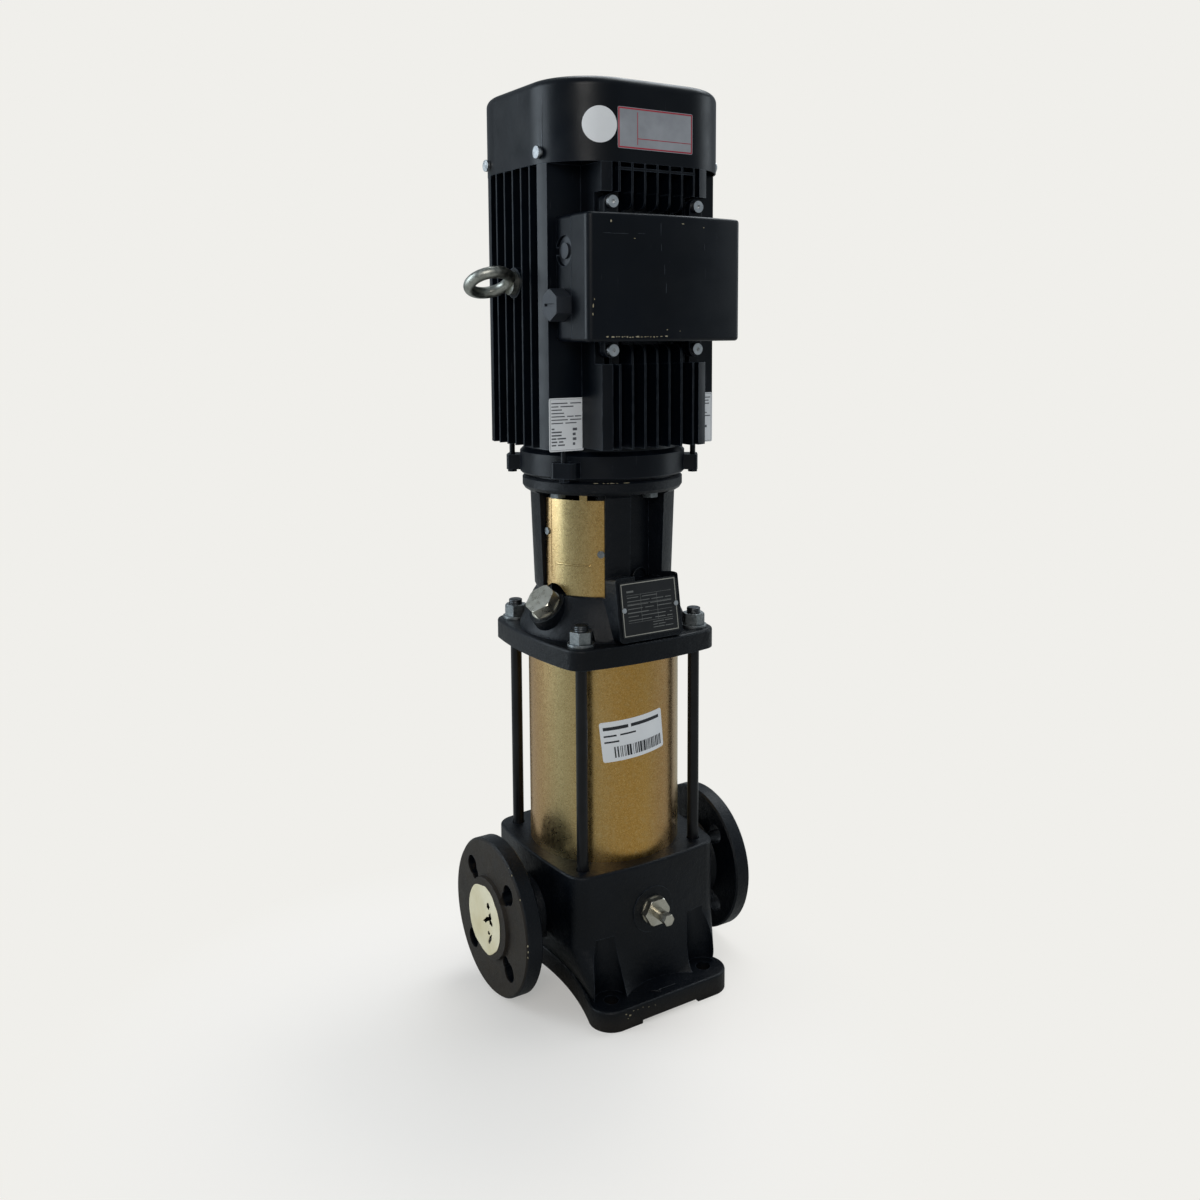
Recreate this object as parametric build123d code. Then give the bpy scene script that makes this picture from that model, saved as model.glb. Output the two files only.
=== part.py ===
from build123d import *
import math
import os

# Vertical in-line multistage pump with an electric motor on top.
# Millimetres. +Z is up along the shaft, X runs along the two ports and -Y is the front.
# The origin lies on the floor, at the centre of the four foundation-bolt holes.

# ---------------------------------------------------------------- foot and base
foot_bolt_x = 100.0            # hole spacing along X
foot_bolt_y = 180.0            # hole spacing along Y
foot_hole_r = 6.75
foot_corner_r = 20.0           # concentric with the bolt holes
foot_waist_x = 56.0            # half width of the foot at mid length
foot_height = 18.0
foot_relief_x = 30.0           # half width of the raised middle of the underside
foot_relief_height = 3.0
washer_seat_r = 15.0
base_top_z = 128.0
waist_top_z = 64.0             # where the flared root of the base meets its upright walls
body_half = 81.5               # half width of the casting at mid side
body_corner_r = 17.0
port_z = 75.0
port_face_x = 125.0            # raised sealing face
port_bore_r = 17.5
flange_r = 70.0
flange_thickness = 16.0
raised_face_r = 36.0
raised_face_height = 3.5
slot_pitch_outer_r = 50.0      # bolt circles of the two lobes of each slot
slot_pitch_inner_r = 42.0
slot_outer_hole_r = 9.0        # M16 bolts, coarse series, in the suction flange
slot_inner_hole_r = 6.4
outlet_slot_outer_hole_r = 8.75        # M16 bolts, medium series, in the discharge flange
outlet_slot_inner_hole_r = 6.2
neck_r = 27.0
neck_collar_r = 36.0
neck_collar_width = 5.0
rim_r = 42.0                   # wall between suction eye and discharge ring
eye_r = 34.0
rim_top_z = 100.0
cavity_floor_z = 50.0
port_wall = 6.0
underside_wall = 9.0
underside_pocket_r = 50.0
underside_rib = 9.0

# ---------------------------------------------------------------- sleeve and stay bolts
sleeve_r = 69.5
sleeve_wall = 1.5
sleeve_ledge = 6.0             # width of the seat between the sleeve and the discharge ring
cavity_r = sleeve_r - sleeve_ledge
sleeve_seat_depth = 6.0
sleeve_seat_clearance = 0.15
o_ring_r = 2.0
stay_offset = 60.0             # stay bolts stand at +-stay_offset in X and Y
stay_r = 5.2
stay_thread_r = 6.0
stay_clearance = 0.4
stay_root_depth = 22.0
stay_stickout = 18.0           # end of the stay bolts above the plate of the head
nut_across_flats = 18.0
nut_height = 10.5
washer_r = 12.0
washer_height = 2.5

# ---------------------------------------------------------------- pump head and motor stool
sleeve_gap = 184.0             # free height between base and head
head_plate_z = base_top_z + sleeve_gap
head_plate_height = 18.0
stay_end_z = head_plate_z + head_plate_height + stay_stickout
head_half = 82.5
head_corner_r = 17.0
head_cavity_r = 52.0
head_cavity_height = 14.0
head_floor_height = 10.0
stool_inner_r = 46.0
stool_root_r = 63.0
stool_top_r = 66.0
stool_ring_r = 73.0
stool_ring_height = 12.0
stool_height = 158.0           # from the underside of the plate to the motor flange
stool_top_z = head_plate_z + stool_height
saddle_bottom_r = 77.0         # sloping shoulder between plate and stool
saddle_top_r = 61.0
saddle_height = 54.0
saddle_top_z = head_plate_z + saddle_height
window_from = 180.0            # edges of the coupling window, degrees from +X
window_to = 240.0
window_ledge = 6.0             # degrees of ledge behind each edge of the guard
panel_from = 260.0             # edges of the blind pocket between the windows
panel_to = 294.0
panel_bottom_z = saddle_top_z + 14.0
panel_floor_r = 49.5
plate_pad_half = 33.0          # pad that carries the nameplate
plate_lean = 9.0               # degrees
nameplate_width = 59.5
nameplate_height = 48.0
nameplate_thickness = 0.8
nameplate_front_y = head_half - 1.5
nameplate_bottom_z = head_plate_z + head_plate_height + 5.5
rivet_r = 2.2
rivet_head = 1.2
seal_bore_r = 16.0
prime_angle = 192.0            # direction of the priming plug, degrees from +X
prime_boss_r = 18.0
prime_across_flats = 26.0
prime_thread_r = 10.0
prime_thread_length = 14.0
prime_collar = 1.5
prime_head = 10.0
prime_seat_r = 70.0
prime_seat_z = head_plate_z + 45.0

# ---------------------------------------------------------------- coupling guards
guard_thickness = 0.8
guard_r = 60.0
guard_bottom_z = saddle_top_z + 1.0
guard_top_z = stool_top_z - 18.0
guard_clearance = 0.2
guard_ledge_gap = 0.75         # the flat part of a guard dips this close to its ledge
guard_screw_r = 2.0
guard_screw_length = 4.0
guard_screw_rise_left = 55.0   # height of the screws above the guard's lower edge
guard_screw_rise_right = 38.0
guard_crease = 12.0            # degrees of the flat strip beside the right-hand edge
guard_bead_r = 0.9
guard_bead_rise = 27.5

# ---------------------------------------------------------------- hydraulics
stage_count = 7
stage_height = 27.0
chamber_r = 57.0
chamber_wall = 1.5
stack_bottom_z = rim_top_z + 10.0      # underside of the first stage
eye_hole_r = 20.3
spigot_depth = 7.0             # of the inlet chamber in the suction eye; stays above the inlet bore
impeller_r = 44.0
impeller_eye_r = 18.5
impeller_eye_wall = 1.5
impeller_height = 10.5
impeller_lift = 1.5            # impeller underside above its chamber floor
shroud_thickness = 1.3
blade_count = 6
blade_thickness = 1.4
blade_inlet_r = 19.0
hub_r = 10.0
vane_count = 7
vane_thickness = 1.5
diffuser_gap = 1.5
outlet_window = 18.0           # width of the windows above the last stage
pump_shaft_r = 6.0
shaft_bottom_z = rim_top_z - 12.0
seat_clearance = 0.3

# ---------------------------------------------------------------- shaft seal and coupling
gland_r = 26.0
gland_height = 6.0
seal_ring_r = 13.0
seal_ring_height = 6.0
coupling_r = 29.0
coupling_bottom_z = head_plate_z + 40.0
coupling_length = 94.0
coupling_top_z = coupling_bottom_z + coupling_length
coupling_split = 2.0
coupling_screw_r = 3.0
coupling_screw_y = 20.5
coupling_screw_rise = 20.0     # from either end of the coupling
coupling_screw_seat = 12.0     # depth of the counterbores, from the split
pump_shaft_end_r = 8.0
pump_shaft_end_z = coupling_bottom_z + 46.0
pin_r = 2.5
pin_z = coupling_bottom_z + 20.0

# ---------------------------------------------------------------- motor
motor_pilot_r = 47.5
motor_bolt_r = 57.5            # bolt circle radius of the motor flange
motor_bolt_shank_r = 4.0
motor_bolt_angle = 15.0
shield_r = 75.0
shield_bottom_z = stool_top_z + 2.0
shield_height = 28.0
shield_top_z = shield_bottom_z + shield_height
lug_reach_r = 87.0
lug_width = 23.0
lug_height = 13.5
lug_bottom_z = shield_bottom_z + 2.0
tie_bolt_r = 2.5
tie_bolt_x = 68.0              # the tie bolts stand in the solid corners of the frame
tie_bolt_y = 47.0
housing_bottom_z = shield_top_z
housing_length = 235.0
housing_top_z = housing_bottom_z + housing_length
motor_half = 89.0              # half width over the fin tips
motor_corner_r = 56.0
housing_core_r = 74.0
housing_bore_r = 68.0
side_fin_pitch = 15.0
front_fin_pitch = 12.5
fin_root = 3.4
fin_tip = 1.8
side_fin_count = 7
front_fin_count = 7
corner_flat = 53.0             # where the label flats face to the front and to the back
corner_wall = 11.0             # thickness of the solid corner behind each flat
corner_column = 9.0            # width of the rounded column beside each flat
stator_height = 150.0
stator_bottom_z = housing_bottom_z + 40.0
stator_inner_r = 38.0
winding_overhang = 24.0
winding_inner_r = 41.0
winding_outer_r = 60.0
air_gap = 0.4
motor_shaft_r = 12.0
motor_shaft_bottom_z = stool_top_z - 48.0
rotor_bore_r = 16.0
bearing_r = 31.0
bearing_seat_r = 12.5
bearing_width = 17.0
bearing_split_inner_r = 17.5   # outside of the inner rings
bearing_split_outer_r = 17.8   # inside of the outer rings and their shields
lower_bearing_z = shield_bottom_z + 4.0
upper_bearing_z = housing_top_z - 13.0
rear_shield_height = 12.0
ear_width = 14.0               # ears of the rear shield, which the cowl is screwed to
ear_height = 5.0
fan_hub_r = 20.0
fan_r = 68.0
fan_blades = 8
fan_blade_thickness = 2.0
fan_disc_thickness = 2.5
fan_bottom_z = housing_top_z + 17.0
fan_height = 30.0
motor_shaft_top_z = fan_bottom_z + fan_height
cowl_height = 68.0
cowl_top_z = housing_top_z + cowl_height
cowl_wall = 1.6
cowl_edge_r = 8.0
cowl_slot_width = 3.0
cowl_slot_pitch = 8.0
cowl_grille_r = 60.0
cowl_screw_r = 3.0
cowl_screw_head = 2.4
cowl_screw_z = housing_top_z + 9.0
cowl_screw_offset = 46.0
cowl_gap = 0.3

# ---------------------------------------------------------------- terminal box
box_half = 77.0
box_height = 103.0
box_bottom_z = housing_bottom_z + 90.0
box_top_z = box_bottom_z + box_height
box_seat_depth = 15.0          # the box stands on a seat milled this deep into the fins
box_back_y = motor_half - box_seat_depth
box_split_y = box_back_y + 3.0
box_cover_depth = 26.0
box_edge_y = box_split_y + box_cover_depth
box_bulge = 7.0
box_bulge_y = box_edge_y + box_bulge
box_wall = 3.0
box_corner_r = 6.0
board_width = 64.0             # terminal board inside the box
board_height = 40.0
board_thickness = 8.0
stud_pitch = 20.0
stud_row = 11.0
stud_r = 2.5
stud_length = 11.0
box_screw_x = 43.0
box_screw_r = 2.5
box_screw_gap = 10.5           # screws stand this far above the box
box_screw_gap_lower = 7.0
box_ear_depth = 7.0            # thickness of the cover's ears
box_screw_head = 4.0
entry_z_upper = box_bottom_z + 74.0
entry_z_lower = box_bottom_z + 30.0
entry_y = box_back_y - 8.5
entry_r = 12.5
entry_recess = 4.0
entry_depth = 14.0             # of the tapped cable entries
entry_across_flats = 23.4
entry_height = 14.0

# ---------------------------------------------------------------- eyebolt, drain plug
eye_ring_r = 17.5
eye_section_r = 5.0
eye_z = housing_bottom_z + 140.0
eye_reach = 23.0               # from the fin tips to the centre of the ring
eye_centre_x = motor_half + eye_reach
eye_tilt = 28.0
eye_collar_r = 10.0
eye_collar_height = 5.0
eye_thread_r = 5.0
drain_z = port_z + 9.0
drain_boss_r = 21.0
drain_seat_y = body_half + 0.5
drain_across_flats = 23.0
drain_head = 8.0
drain_thread_r = 9.0
spindle_r = 5.0
spindle_reach = 25.0           # end of the spindle beyond the seat of the plug
spindle_end_y = drain_seat_y + spindle_reach
spindle_hexagon = 6.0          # length of its hexagon end
spindle_clearance = 0.08
bypass_hole_r = 3.5
cone_seat_y = 42.0             # outside of the wall around the suction eye
cone_length = 7.0
cone_pin_r = 2.0
cone_pin_length = 8.0
wall_clearance = 0.3           # gap between a moving body and the body around it


# ================================================================ shapes used throughout
def post(r, z0, z1, x=0.0, y=0.0):
    """Upright cylinder from z0 to z1."""
    return Pos(x, y, (z0 + z1) / 2) * Cylinder(r, z1 - z0)


def ring(r_out, r_in, z0, z1, x=0.0, y=0.0):
    """Upright tube from z0 to z1."""
    return post(r_out, z0, z1, x, y) - post(r_in, z0 - 1, z1 + 1, x, y)


def bar_x(r, x0, x1, y=0.0, z=0.0):
    """Cylinder along X from x0 to x1."""
    return Pos((x0 + x1) / 2, y, z) * Rot(0, 90, 0) * Cylinder(r, abs(x1 - x0))


def bar_y(r, y0, y1, x=0.0, z=0.0):
    """Cylinder along Y from y0 to y1."""
    return Pos(x, (y0 + y1) / 2, z) * Rot(90, 0, 0) * Cylinder(r, abs(y1 - y0))


def block(x0, x1, y0, y1, z0, z1):
    """Box between two corners, given in any order."""
    return Pos((x0 + x1) / 2, (y0 + y1) / 2, (z0 + z1) / 2) * Box(abs(x1 - x0), abs(y1 - y0), abs(z1 - z0))


def hexagon(across_flats, height):
    """Hexagonal prism standing on the XY plane, its corners chamfered on top."""
    corner_r = across_flats / math.sqrt(3)
    prism = extrude(RegularPolygon(corner_r, 6), height)
    cone_r = corner_r * 0.93 + height
    cap = Pos(0, 0, height / 2) * Cone(cone_r, cone_r - height, height)
    return prism & cap


def polar(r, degrees, z=0.0):
    """Point at a radius and a direction from +X."""
    return (r * math.cos(math.radians(degrees)), r * math.sin(math.radians(degrees)), z)


def sector(r, from_degrees, to_degrees, z0, z1):
    """Wedge about the Z axis, wide enough to cut windows with."""
    reach = r / math.cos(math.radians((to_degrees - from_degrees) / 2))
    corners = [(0, 0), polar(reach, from_degrees)[:2], polar(reach, to_degrees)[:2]]
    return Pos(0, 0, z0) * extrude(make_face(Polyline(corners, close=True)), z1 - z0)


def lobed_outline(half_x, half_y, corner_x, corner_y, corner_r):
    """Closed outline with four round corners joined by arcs that bulge or dip to the half widths."""

    def side_centre(half, along, across):
        # Centre distance and radius of the arc that touches both corner arcs; the sign of the
        # radius says whether the side bulges out or is waisted.
        slack = half - across - corner_r
        if abs(slack) < 1e-6:
            return None
        return (along ** 2 + (half - across) ** 2 - corner_r ** 2) / (2 * slack)

    radius_x = side_centre(half_x, corner_y, corner_x)
    radius_y = side_centre(half_y, corner_x, corner_y)

    def touch(radius, half, along, across):
        if radius is None:
            return along, across + corner_r
        share = radius / (radius - corner_r)
        return along * share, half - radius + (across - half + radius) * share

    y_on_side, x_on_side = touch(radius_x, half_x, corner_y, corner_x)
    x_on_end, y_on_end = touch(radius_y, half_y, corner_x, corner_y)
    diagonal = math.atan2(y_on_end - corner_y + y_on_side - corner_y,
                          x_on_side - corner_x + x_on_end - corner_x)
    middle = (corner_x + corner_r * math.cos(diagonal), corner_y + corner_r * math.sin(diagonal))
    edges = []
    for sx, sy in ((1, 1), (-1, 1), (-1, -1), (1, -1)):
        edges.append(ThreePointArc((sx * x_on_side, sy * y_on_side), (sx * middle[0], sy * middle[1]),
                                   (sx * x_on_end, sy * y_on_end)))
    for s in (1, -1):
        side = ((s * x_on_side, -y_on_side), (s * half_x, 0), (s * x_on_side, y_on_side))
        end = ((-x_on_end, s * y_on_end), (0, s * half_y), (x_on_end, s * y_on_end))
        edges.append(Line(side[0], side[2]) if radius_x is None else ThreePointArc(*side))
        edges.append(Line(end[0], end[2]) if radius_y is None else ThreePointArc(*end))
    return make_face(Wire(edges))


def rounded_square(half, corner_r):
    return RectangleRounded(2 * half, 2 * half, corner_r)


def at_corners(offset_x, offset_y):
    return [(sx * offset_x, sy * offset_y) for sx in (-1, 1) for sy in (-1, 1)]


def save(node, shape):
    """Write one named node; a list becomes a group of separate solids."""
    solids = []
    for item in (shape if isinstance(shape, (list, tuple)) else [shape]):
        solids.extend(item.solids())
    export_step(solids[0] if len(solids) == 1 else Compound(children=solids), f"parts/{node}.step")


# ================================================================ base
def port_slots(side):
    """Four slots of two overlapping holes each, for flanges of two bolt circles."""
    outer_r = slot_outer_hole_r if side < 0 else outlet_slot_outer_hole_r
    inner_r = slot_inner_hole_r if side < 0 else outlet_slot_inner_hole_r
    cutters = []
    for angle in (45, 135, 225, 315):
        for reach, r in ((slot_pitch_inner_r, inner_r), (slot_pitch_outer_r, outer_r)):
            y = reach * math.cos(math.radians(angle))
            z = port_z + reach * math.sin(math.radians(angle))
            cutters.append(bar_x(r, side * (port_face_x + 5), side * neck_root_x(), y, z))
    return cutters


def flange_face_x():
    return port_face_x - raised_face_height


def neck_root_x():
    return flange_face_x() - flange_thickness - 1.0


def port_outside(side):
    """Flange with raised face, collar and neck of one port, as one turned form."""
    back = flange_face_x() - flange_thickness
    face = flange_face_x()
    collar = back - neck_collar_width
    profile = Polyline((0, 0), (0, neck_r + 6), (back - 24, neck_r + 3), (collar - 4, neck_r),
                       (collar, neck_collar_r), (back, neck_collar_r + 2), (back, flange_r - 1.5),
                       (back + 1.5, flange_r), (face - 2, flange_r), (face, flange_r - 2),
                       (face, raised_face_r + 1), (port_face_x, raised_face_r), (port_face_x, 0), close=True)
    turned = revolve(make_face(profile), Axis.X)
    if side < 0:
        turned = mirror(turned, Plane.YZ)
    return Pos(0, 0, port_z) * turned


def base_walls():
    """Upright walls on a root that flares out to the four bolt holes and is waisted under the ports."""
    upright_outline = lobed_outline(body_half, body_half, stay_offset, stay_offset, body_corner_r)
    root_outline = lobed_outline(foot_waist_x - 2, body_half, foot_bolt_x / 2 - 2, foot_bolt_y / 2 - 6, 16)
    upright = Pos(0, 0, waist_top_z) * extrude(upright_outline, base_top_z - waist_top_z)
    root = loft([Pos(0, 0, foot_height - 1) * root_outline, Pos(0, 0, waist_top_z) * upright_outline])
    return fillet_top(upright, base_top_z, 2.5) + root


def fillet_top(solid, z, r):
    """Round the outer edges of a solid at one level."""
    edges = solid.edges().filter_by_position(Axis.Z, z - 0.01, z + 0.01)
    return fillet(edges, r)


def make_foot():
    outline = lobed_outline(foot_waist_x, foot_bolt_y / 2 + foot_corner_r, foot_bolt_x / 2, foot_bolt_y / 2,
                            foot_corner_r)
    foot = fillet_top(extrude(outline, foot_height), foot_height, 2.0)
    length = foot_bolt_y + 4 * foot_corner_r
    return foot - block(-foot_relief_x, foot_relief_x, -length / 2, length / 2, -1, foot_relief_height)


def make_pump_base():
    base = make_foot() + base_walls() + port_outside(1) + port_outside(-1)
    base += bar_y(drain_boss_r, -body_half + 8, -drain_seat_y, 0, drain_z)
    # Pads that the washers of the foundation bolts sit on
    for x, y in at_corners(foot_bolt_x / 2, foot_bolt_y / 2):
        base -= post(washer_seat_r, foot_height, waist_top_z + 5, x, y)
        base -= post(foot_hole_r, -1, foot_height + 1, x, y)
    # Suction eye in the middle, discharge ring around it, and the port pipe that crosses the ring
    ring_space = ring(cavity_r, rim_r, cavity_floor_z, base_top_z + 1)
    ring_space += post(rim_r + 1, rim_top_z, base_top_z + 1)
    ring_space -= bar_x(port_bore_r + port_wall, -port_face_x, 0, 0, port_z)
    base -= ring_space
    base -= post(eye_r, cavity_floor_z, rim_top_z + 1)
    base -= bar_x(port_bore_r, -port_face_x - 1, -eye_r + 6, 0, port_z)
    base -= bar_x(port_bore_r, port_face_x + 1, rim_r + 6, 0, port_z)
    # Seat of the sleeve and its ring groove
    base -= post(sleeve_r + sleeve_seat_clearance, base_top_z - sleeve_seat_depth, base_top_z + 1)
    for side in (1, -1):
        for cutter in port_slots(side):
            base -= cutter
    # Hollow underside with crossed ribs
    pocket_top = cavity_floor_z - underside_wall
    half_rib = underside_rib / 2
    pocket = Cone(underside_pocket_r, underside_pocket_r - 5, pocket_top + 1)
    pocket = Pos(0, 0, (pocket_top - 1) / 2) * pocket
    pocket -= block(-half_rib, half_rib, -foot_bolt_y, foot_bolt_y, -2, pocket_top + 1)
    pocket -= block(-foot_bolt_y, foot_bolt_y, -half_rib, half_rib, -2, pocket_top + 1)
    base -= pocket
    # Tapped holes of the stay bolts and of the drain plug
    for x, y in at_corners(stay_offset, stay_offset):
        base -= post(stay_thread_r, base_top_z - stay_root_depth, base_top_z + 1, x, y)
    base -= bar_y(drain_thread_r, -drain_seat_y - 1, -cavity_r + 4, 0, drain_z)
    base -= bar_y(bypass_hole_r, -rim_r - 1, -eye_r + 1, 0, drain_z)
    return base


def make_drain_plug():
    """Hexagon plug with a through hole for the valve spindle."""
    head = Pos(0, -drain_seat_y, drain_z) * Rot(90, 0, 0) * hexagon(drain_across_flats, drain_head)
    flange = bar_y(drain_across_flats / 2 + 1, -drain_seat_y, -drain_seat_y - 1.5, 0, drain_z)
    thread = bar_y(drain_thread_r, -drain_seat_y, -cavity_r - 1, 0, drain_z)
    bore = bar_y(spindle_r + spindle_clearance, 0, -foot_bolt_y, 0, drain_z)
    return head + flange + thread - bore


def make_bypass_spindle():
    """Valve spindle: round stem with a hexagon end outside and a bore for the cone inside."""
    hexagon_y = -spindle_end_y + spindle_hexagon
    stem = bar_y(spindle_r, -cone_seat_y - cone_length, hexagon_y, 0, drain_z)
    end = Pos(0, hexagon_y, drain_z) * Rot(90, 0, 0) * hexagon(spindle_r * 1.9, spindle_hexagon)
    bore_end = cone_seat_y + cone_length + cone_pin_length + 2
    bore = bar_y(cone_pin_r + 0.05, -cone_seat_y, -bore_end, 0, drain_z)
    return stem + end - bore


def make_bypass_cone():
    """Closing cone, free to turn on the nose of the spindle."""
    near = cone_seat_y + wall_clearance
    far = cone_seat_y + cone_length - wall_clearance
    tip_r = bypass_hole_r - 1.5
    cone = Pos(0, -(near + far) / 2, drain_z) * Rot(90, 0, 0) * Cone(tip_r, spindle_r, far - near)
    return cone + bar_y(cone_pin_r, -far, -far - cone_pin_length, 0, drain_z)


# ================================================================ sleeve and stay bolts
def make_outer_sleeve():
    low = base_top_z - sleeve_seat_depth
    high = head_plate_z + sleeve_seat_depth
    return ring(sleeve_r, sleeve_r - sleeve_wall, low, high)


def make_sleeve_o_rings():
    """A ring at each end of the sleeve, just inside it."""
    reach = sleeve_r - sleeve_wall - o_ring_r
    levels = (base_top_z - sleeve_seat_depth + o_ring_r, head_plate_z + sleeve_seat_depth - o_ring_r)
    return [Pos(0, 0, z) * Torus(reach, o_ring_r) for z in levels]


def make_staybolts():
    bolts = []
    for x, y in at_corners(stay_offset, stay_offset):
        bolt = post(stay_r, base_top_z - 4, head_plate_z + head_plate_height, x, y)
        bolt += post(stay_thread_r, base_top_z - stay_root_depth, base_top_z - 4, x, y)
        end = post(stay_thread_r, head_plate_z + head_plate_height, stay_end_z, x, y)
        bolts.append(bolt + chamfer(end.edges().filter_by_position(Axis.Z, stay_end_z, stay_end_z), 1.0))
    return bolts


def make_staybolt_washers():
    low = head_plate_z + head_plate_height
    return [ring(washer_r, stay_thread_r + stay_clearance, low, low + washer_height, x, y)
            for x, y in at_corners(stay_offset, stay_offset)]


def make_staybolt_nuts():
    low = head_plate_z + head_plate_height + washer_height
    nuts = []
    for x, y in at_corners(stay_offset, stay_offset):
        nut = Pos(x, y, low) * Rot(0, 0, 10 * x / stay_offset) * hexagon(nut_across_flats, nut_height)
        nuts.append(nut - post(stay_thread_r, low - 1, low + nut_height + 1, x, y))
    return nuts


# ================================================================ pump head with motor stool
def head_floor_z():
    return head_plate_z + head_cavity_height + head_floor_height


def prime_place():
    """Seat of the priming plug: on the shoulder, pointing outwards and up at 45 degrees."""
    x, y, z = polar(prime_seat_r, prime_angle, prime_seat_z)
    outward = polar(1, prime_angle, 1)
    return Plane(origin=(x, y, z), z_dir=outward)


def nameplate_place():
    """Middle of the nameplate's back, leaning back like the pad that carries it."""
    lean = math.radians(plate_lean)
    back_y = -nameplate_front_y + nameplate_thickness
    y = back_y + nameplate_height / 2 * math.sin(lean)
    z = nameplate_bottom_z + nameplate_height / 2 * math.cos(lean)
    return Plane(origin=(0, y, z), x_dir=(1, 0, 0), z_dir=(0, -math.cos(lean), math.sin(lean)))


def stool_walls():
    """Round stool with its shoulder and top ring, before anything is cut out of it."""
    plate_top = head_plate_z + head_plate_height
    ring_bottom = stool_top_z - stool_ring_height
    profile = Polyline((0, plate_top - 1), (saddle_bottom_r, plate_top - 1), (saddle_bottom_r, plate_top + 3),
                       (saddle_top_r + 4, saddle_top_z - 6), (saddle_top_r, saddle_top_z),
                       (stool_root_r, saddle_top_z + 4), (stool_top_r, ring_bottom - 3),
                       (stool_ring_r - 2, ring_bottom), (stool_ring_r, ring_bottom + 3),
                       (stool_ring_r, stool_top_z - 2), (stool_ring_r - 2, stool_top_z),
                       (0, stool_top_z), close=True)
    return revolve(Plane.XZ * make_face(profile), Axis.Z)


def nameplate_pad():
    """Wedge in front of the stool whose face leans back."""
    place = nameplate_place()
    half_height = nameplate_height / 2 + 4
    pad = place * extrude(RectangleRounded(2 * plate_pad_half, 2 * half_height, 4), -40)
    floor = head_plate_z + head_plate_height
    reach = plate_pad_half + 5
    return pad & block(-reach, reach, -head_half - 5, -stool_inner_r - 2, floor - 1, stool_top_z)


def make_pump_head():
    plate_top = head_plate_z + head_plate_height
    outline = lobed_outline(head_half, head_half, stay_offset, stay_offset, head_corner_r)
    plate = fillet_top(Pos(0, 0, head_plate_z) * extrude(outline, head_plate_height), plate_top, 2.5)
    head = plate + stool_walls() + nameplate_pad()
    place = prime_place()
    head += place * extrude(Circle(prime_boss_r), -26, taper=-6)
    # Room for the coupling, and the bore that centres the motor
    ring_bottom = stool_top_z - stool_ring_height
    head -= post(stool_inner_r, head_floor_z(), ring_bottom)
    head -= post(motor_pilot_r + seat_clearance, ring_bottom - 0.01, stool_top_z + 1)
    # Underside: hollow over the pump, bore of the shaft seal, seat of the sleeve
    head -= post(head_cavity_r, head_plate_z - 1, head_plate_z + head_cavity_height)
    head -= post(seal_bore_r, head_plate_z, head_floor_z() + 1)
    groove_r = sleeve_r - sleeve_wall - 2 * o_ring_r - sleeve_seat_clearance
    seat_r = sleeve_r + sleeve_seat_clearance
    head -= ring(seat_r, groove_r, head_plate_z - 1, head_plate_z + sleeve_seat_depth)
    # Two coupling windows, opposite each other, and two blind pockets that give room to the flange bolts
    for turn in (0, 180):
        head -= Rot(0, 0, turn) * window_cutter()
        head -= Rot(0, 0, turn) * panel_cutter()
    for x, y in at_corners(stay_offset, stay_offset):
        head -= post(stay_r + stay_clearance, head_plate_z - 1, plate_top + 1, x, y)
        head -= post(washer_r + 1.5, plate_top, stay_end_z + 4, x, y)
    for turn in range(4):
        x, y, _ = polar(motor_bolt_r, motor_bolt_angle + 90 * turn)
        head -= post(motor_bolt_shank_r + stay_clearance, ring_bottom - 5, stool_top_z + 1, x, y)
    head -= place * extrude(Circle(prime_thread_r), -30)
    head -= place * extrude(Circle(prime_boss_r - 1), 40)
    for place in guard_screw_places():
        head -= place * extrude(Circle(guard_screw_r), -guard_screw_length)
    return head


def window_cutter():
    """Opening with a ledge along both upright edges, which the guard lies on."""
    top = stool_top_z - stool_ring_height
    reach = stool_ring_r + 20
    rebate = sector(reach, window_from, window_to, guard_bottom_z - guard_clearance, top)
    rebate -= post(guard_r - guard_thickness - guard_ledge_gap, saddle_top_z - 1, top + 1)
    opening = sector(reach, window_from + window_ledge, window_to - window_ledge, guard_bottom_z, top)
    return rebate + opening


def panel_cutter():
    top = stool_top_z - stool_ring_height
    cut = sector(stool_ring_r + 20, panel_from, panel_to, panel_bottom_z, top)
    return cut - post(panel_floor_r, panel_bottom_z - 1, top + 1)


def make_priming_plug():
    plug = extrude(Circle(prime_thread_r), -prime_thread_length)
    plug += extrude(Circle(prime_across_flats / 2 + 1.5), prime_collar)
    plug += Pos(0, 0, prime_collar) * Rot(0, 0, 20) * hexagon(prime_across_flats, prime_head)
    return prime_place() * plug


def make_nameplate():
    plate = extrude(RectangleRounded(nameplate_width, nameplate_height, 2), nameplate_thickness)
    return nameplate_place() * plate


def make_nameplate_rivets():
    reach = nameplate_width / 2 - rivet_r - 0.4
    head = Pos(0, 0, nameplate_thickness + rivet_head / 2) * Cylinder(rivet_r, rivet_head)
    return [nameplate_place() * Pos(x, 0) * head for x in (-reach, reach)]


# ================================================================ coupling guards
def guard_sheet(r):
    """Outer limit of a guard: round, then flat towards its right-hand edge."""
    crease = window_to - guard_crease
    first = window_from - 5
    start = polar(r, first)
    bend = polar(r, crease)
    middle = polar(r, (first + crease) / 2)
    end = polar(r, window_to + 4)
    centre = (0, 0)
    edges = [ThreePointArc(start[:2], middle[:2], bend[:2]), Line(bend[:2], end[:2]),
             Line(end[:2], centre), Line(centre, start[:2])]
    return make_face(Wire(edges))


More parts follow.
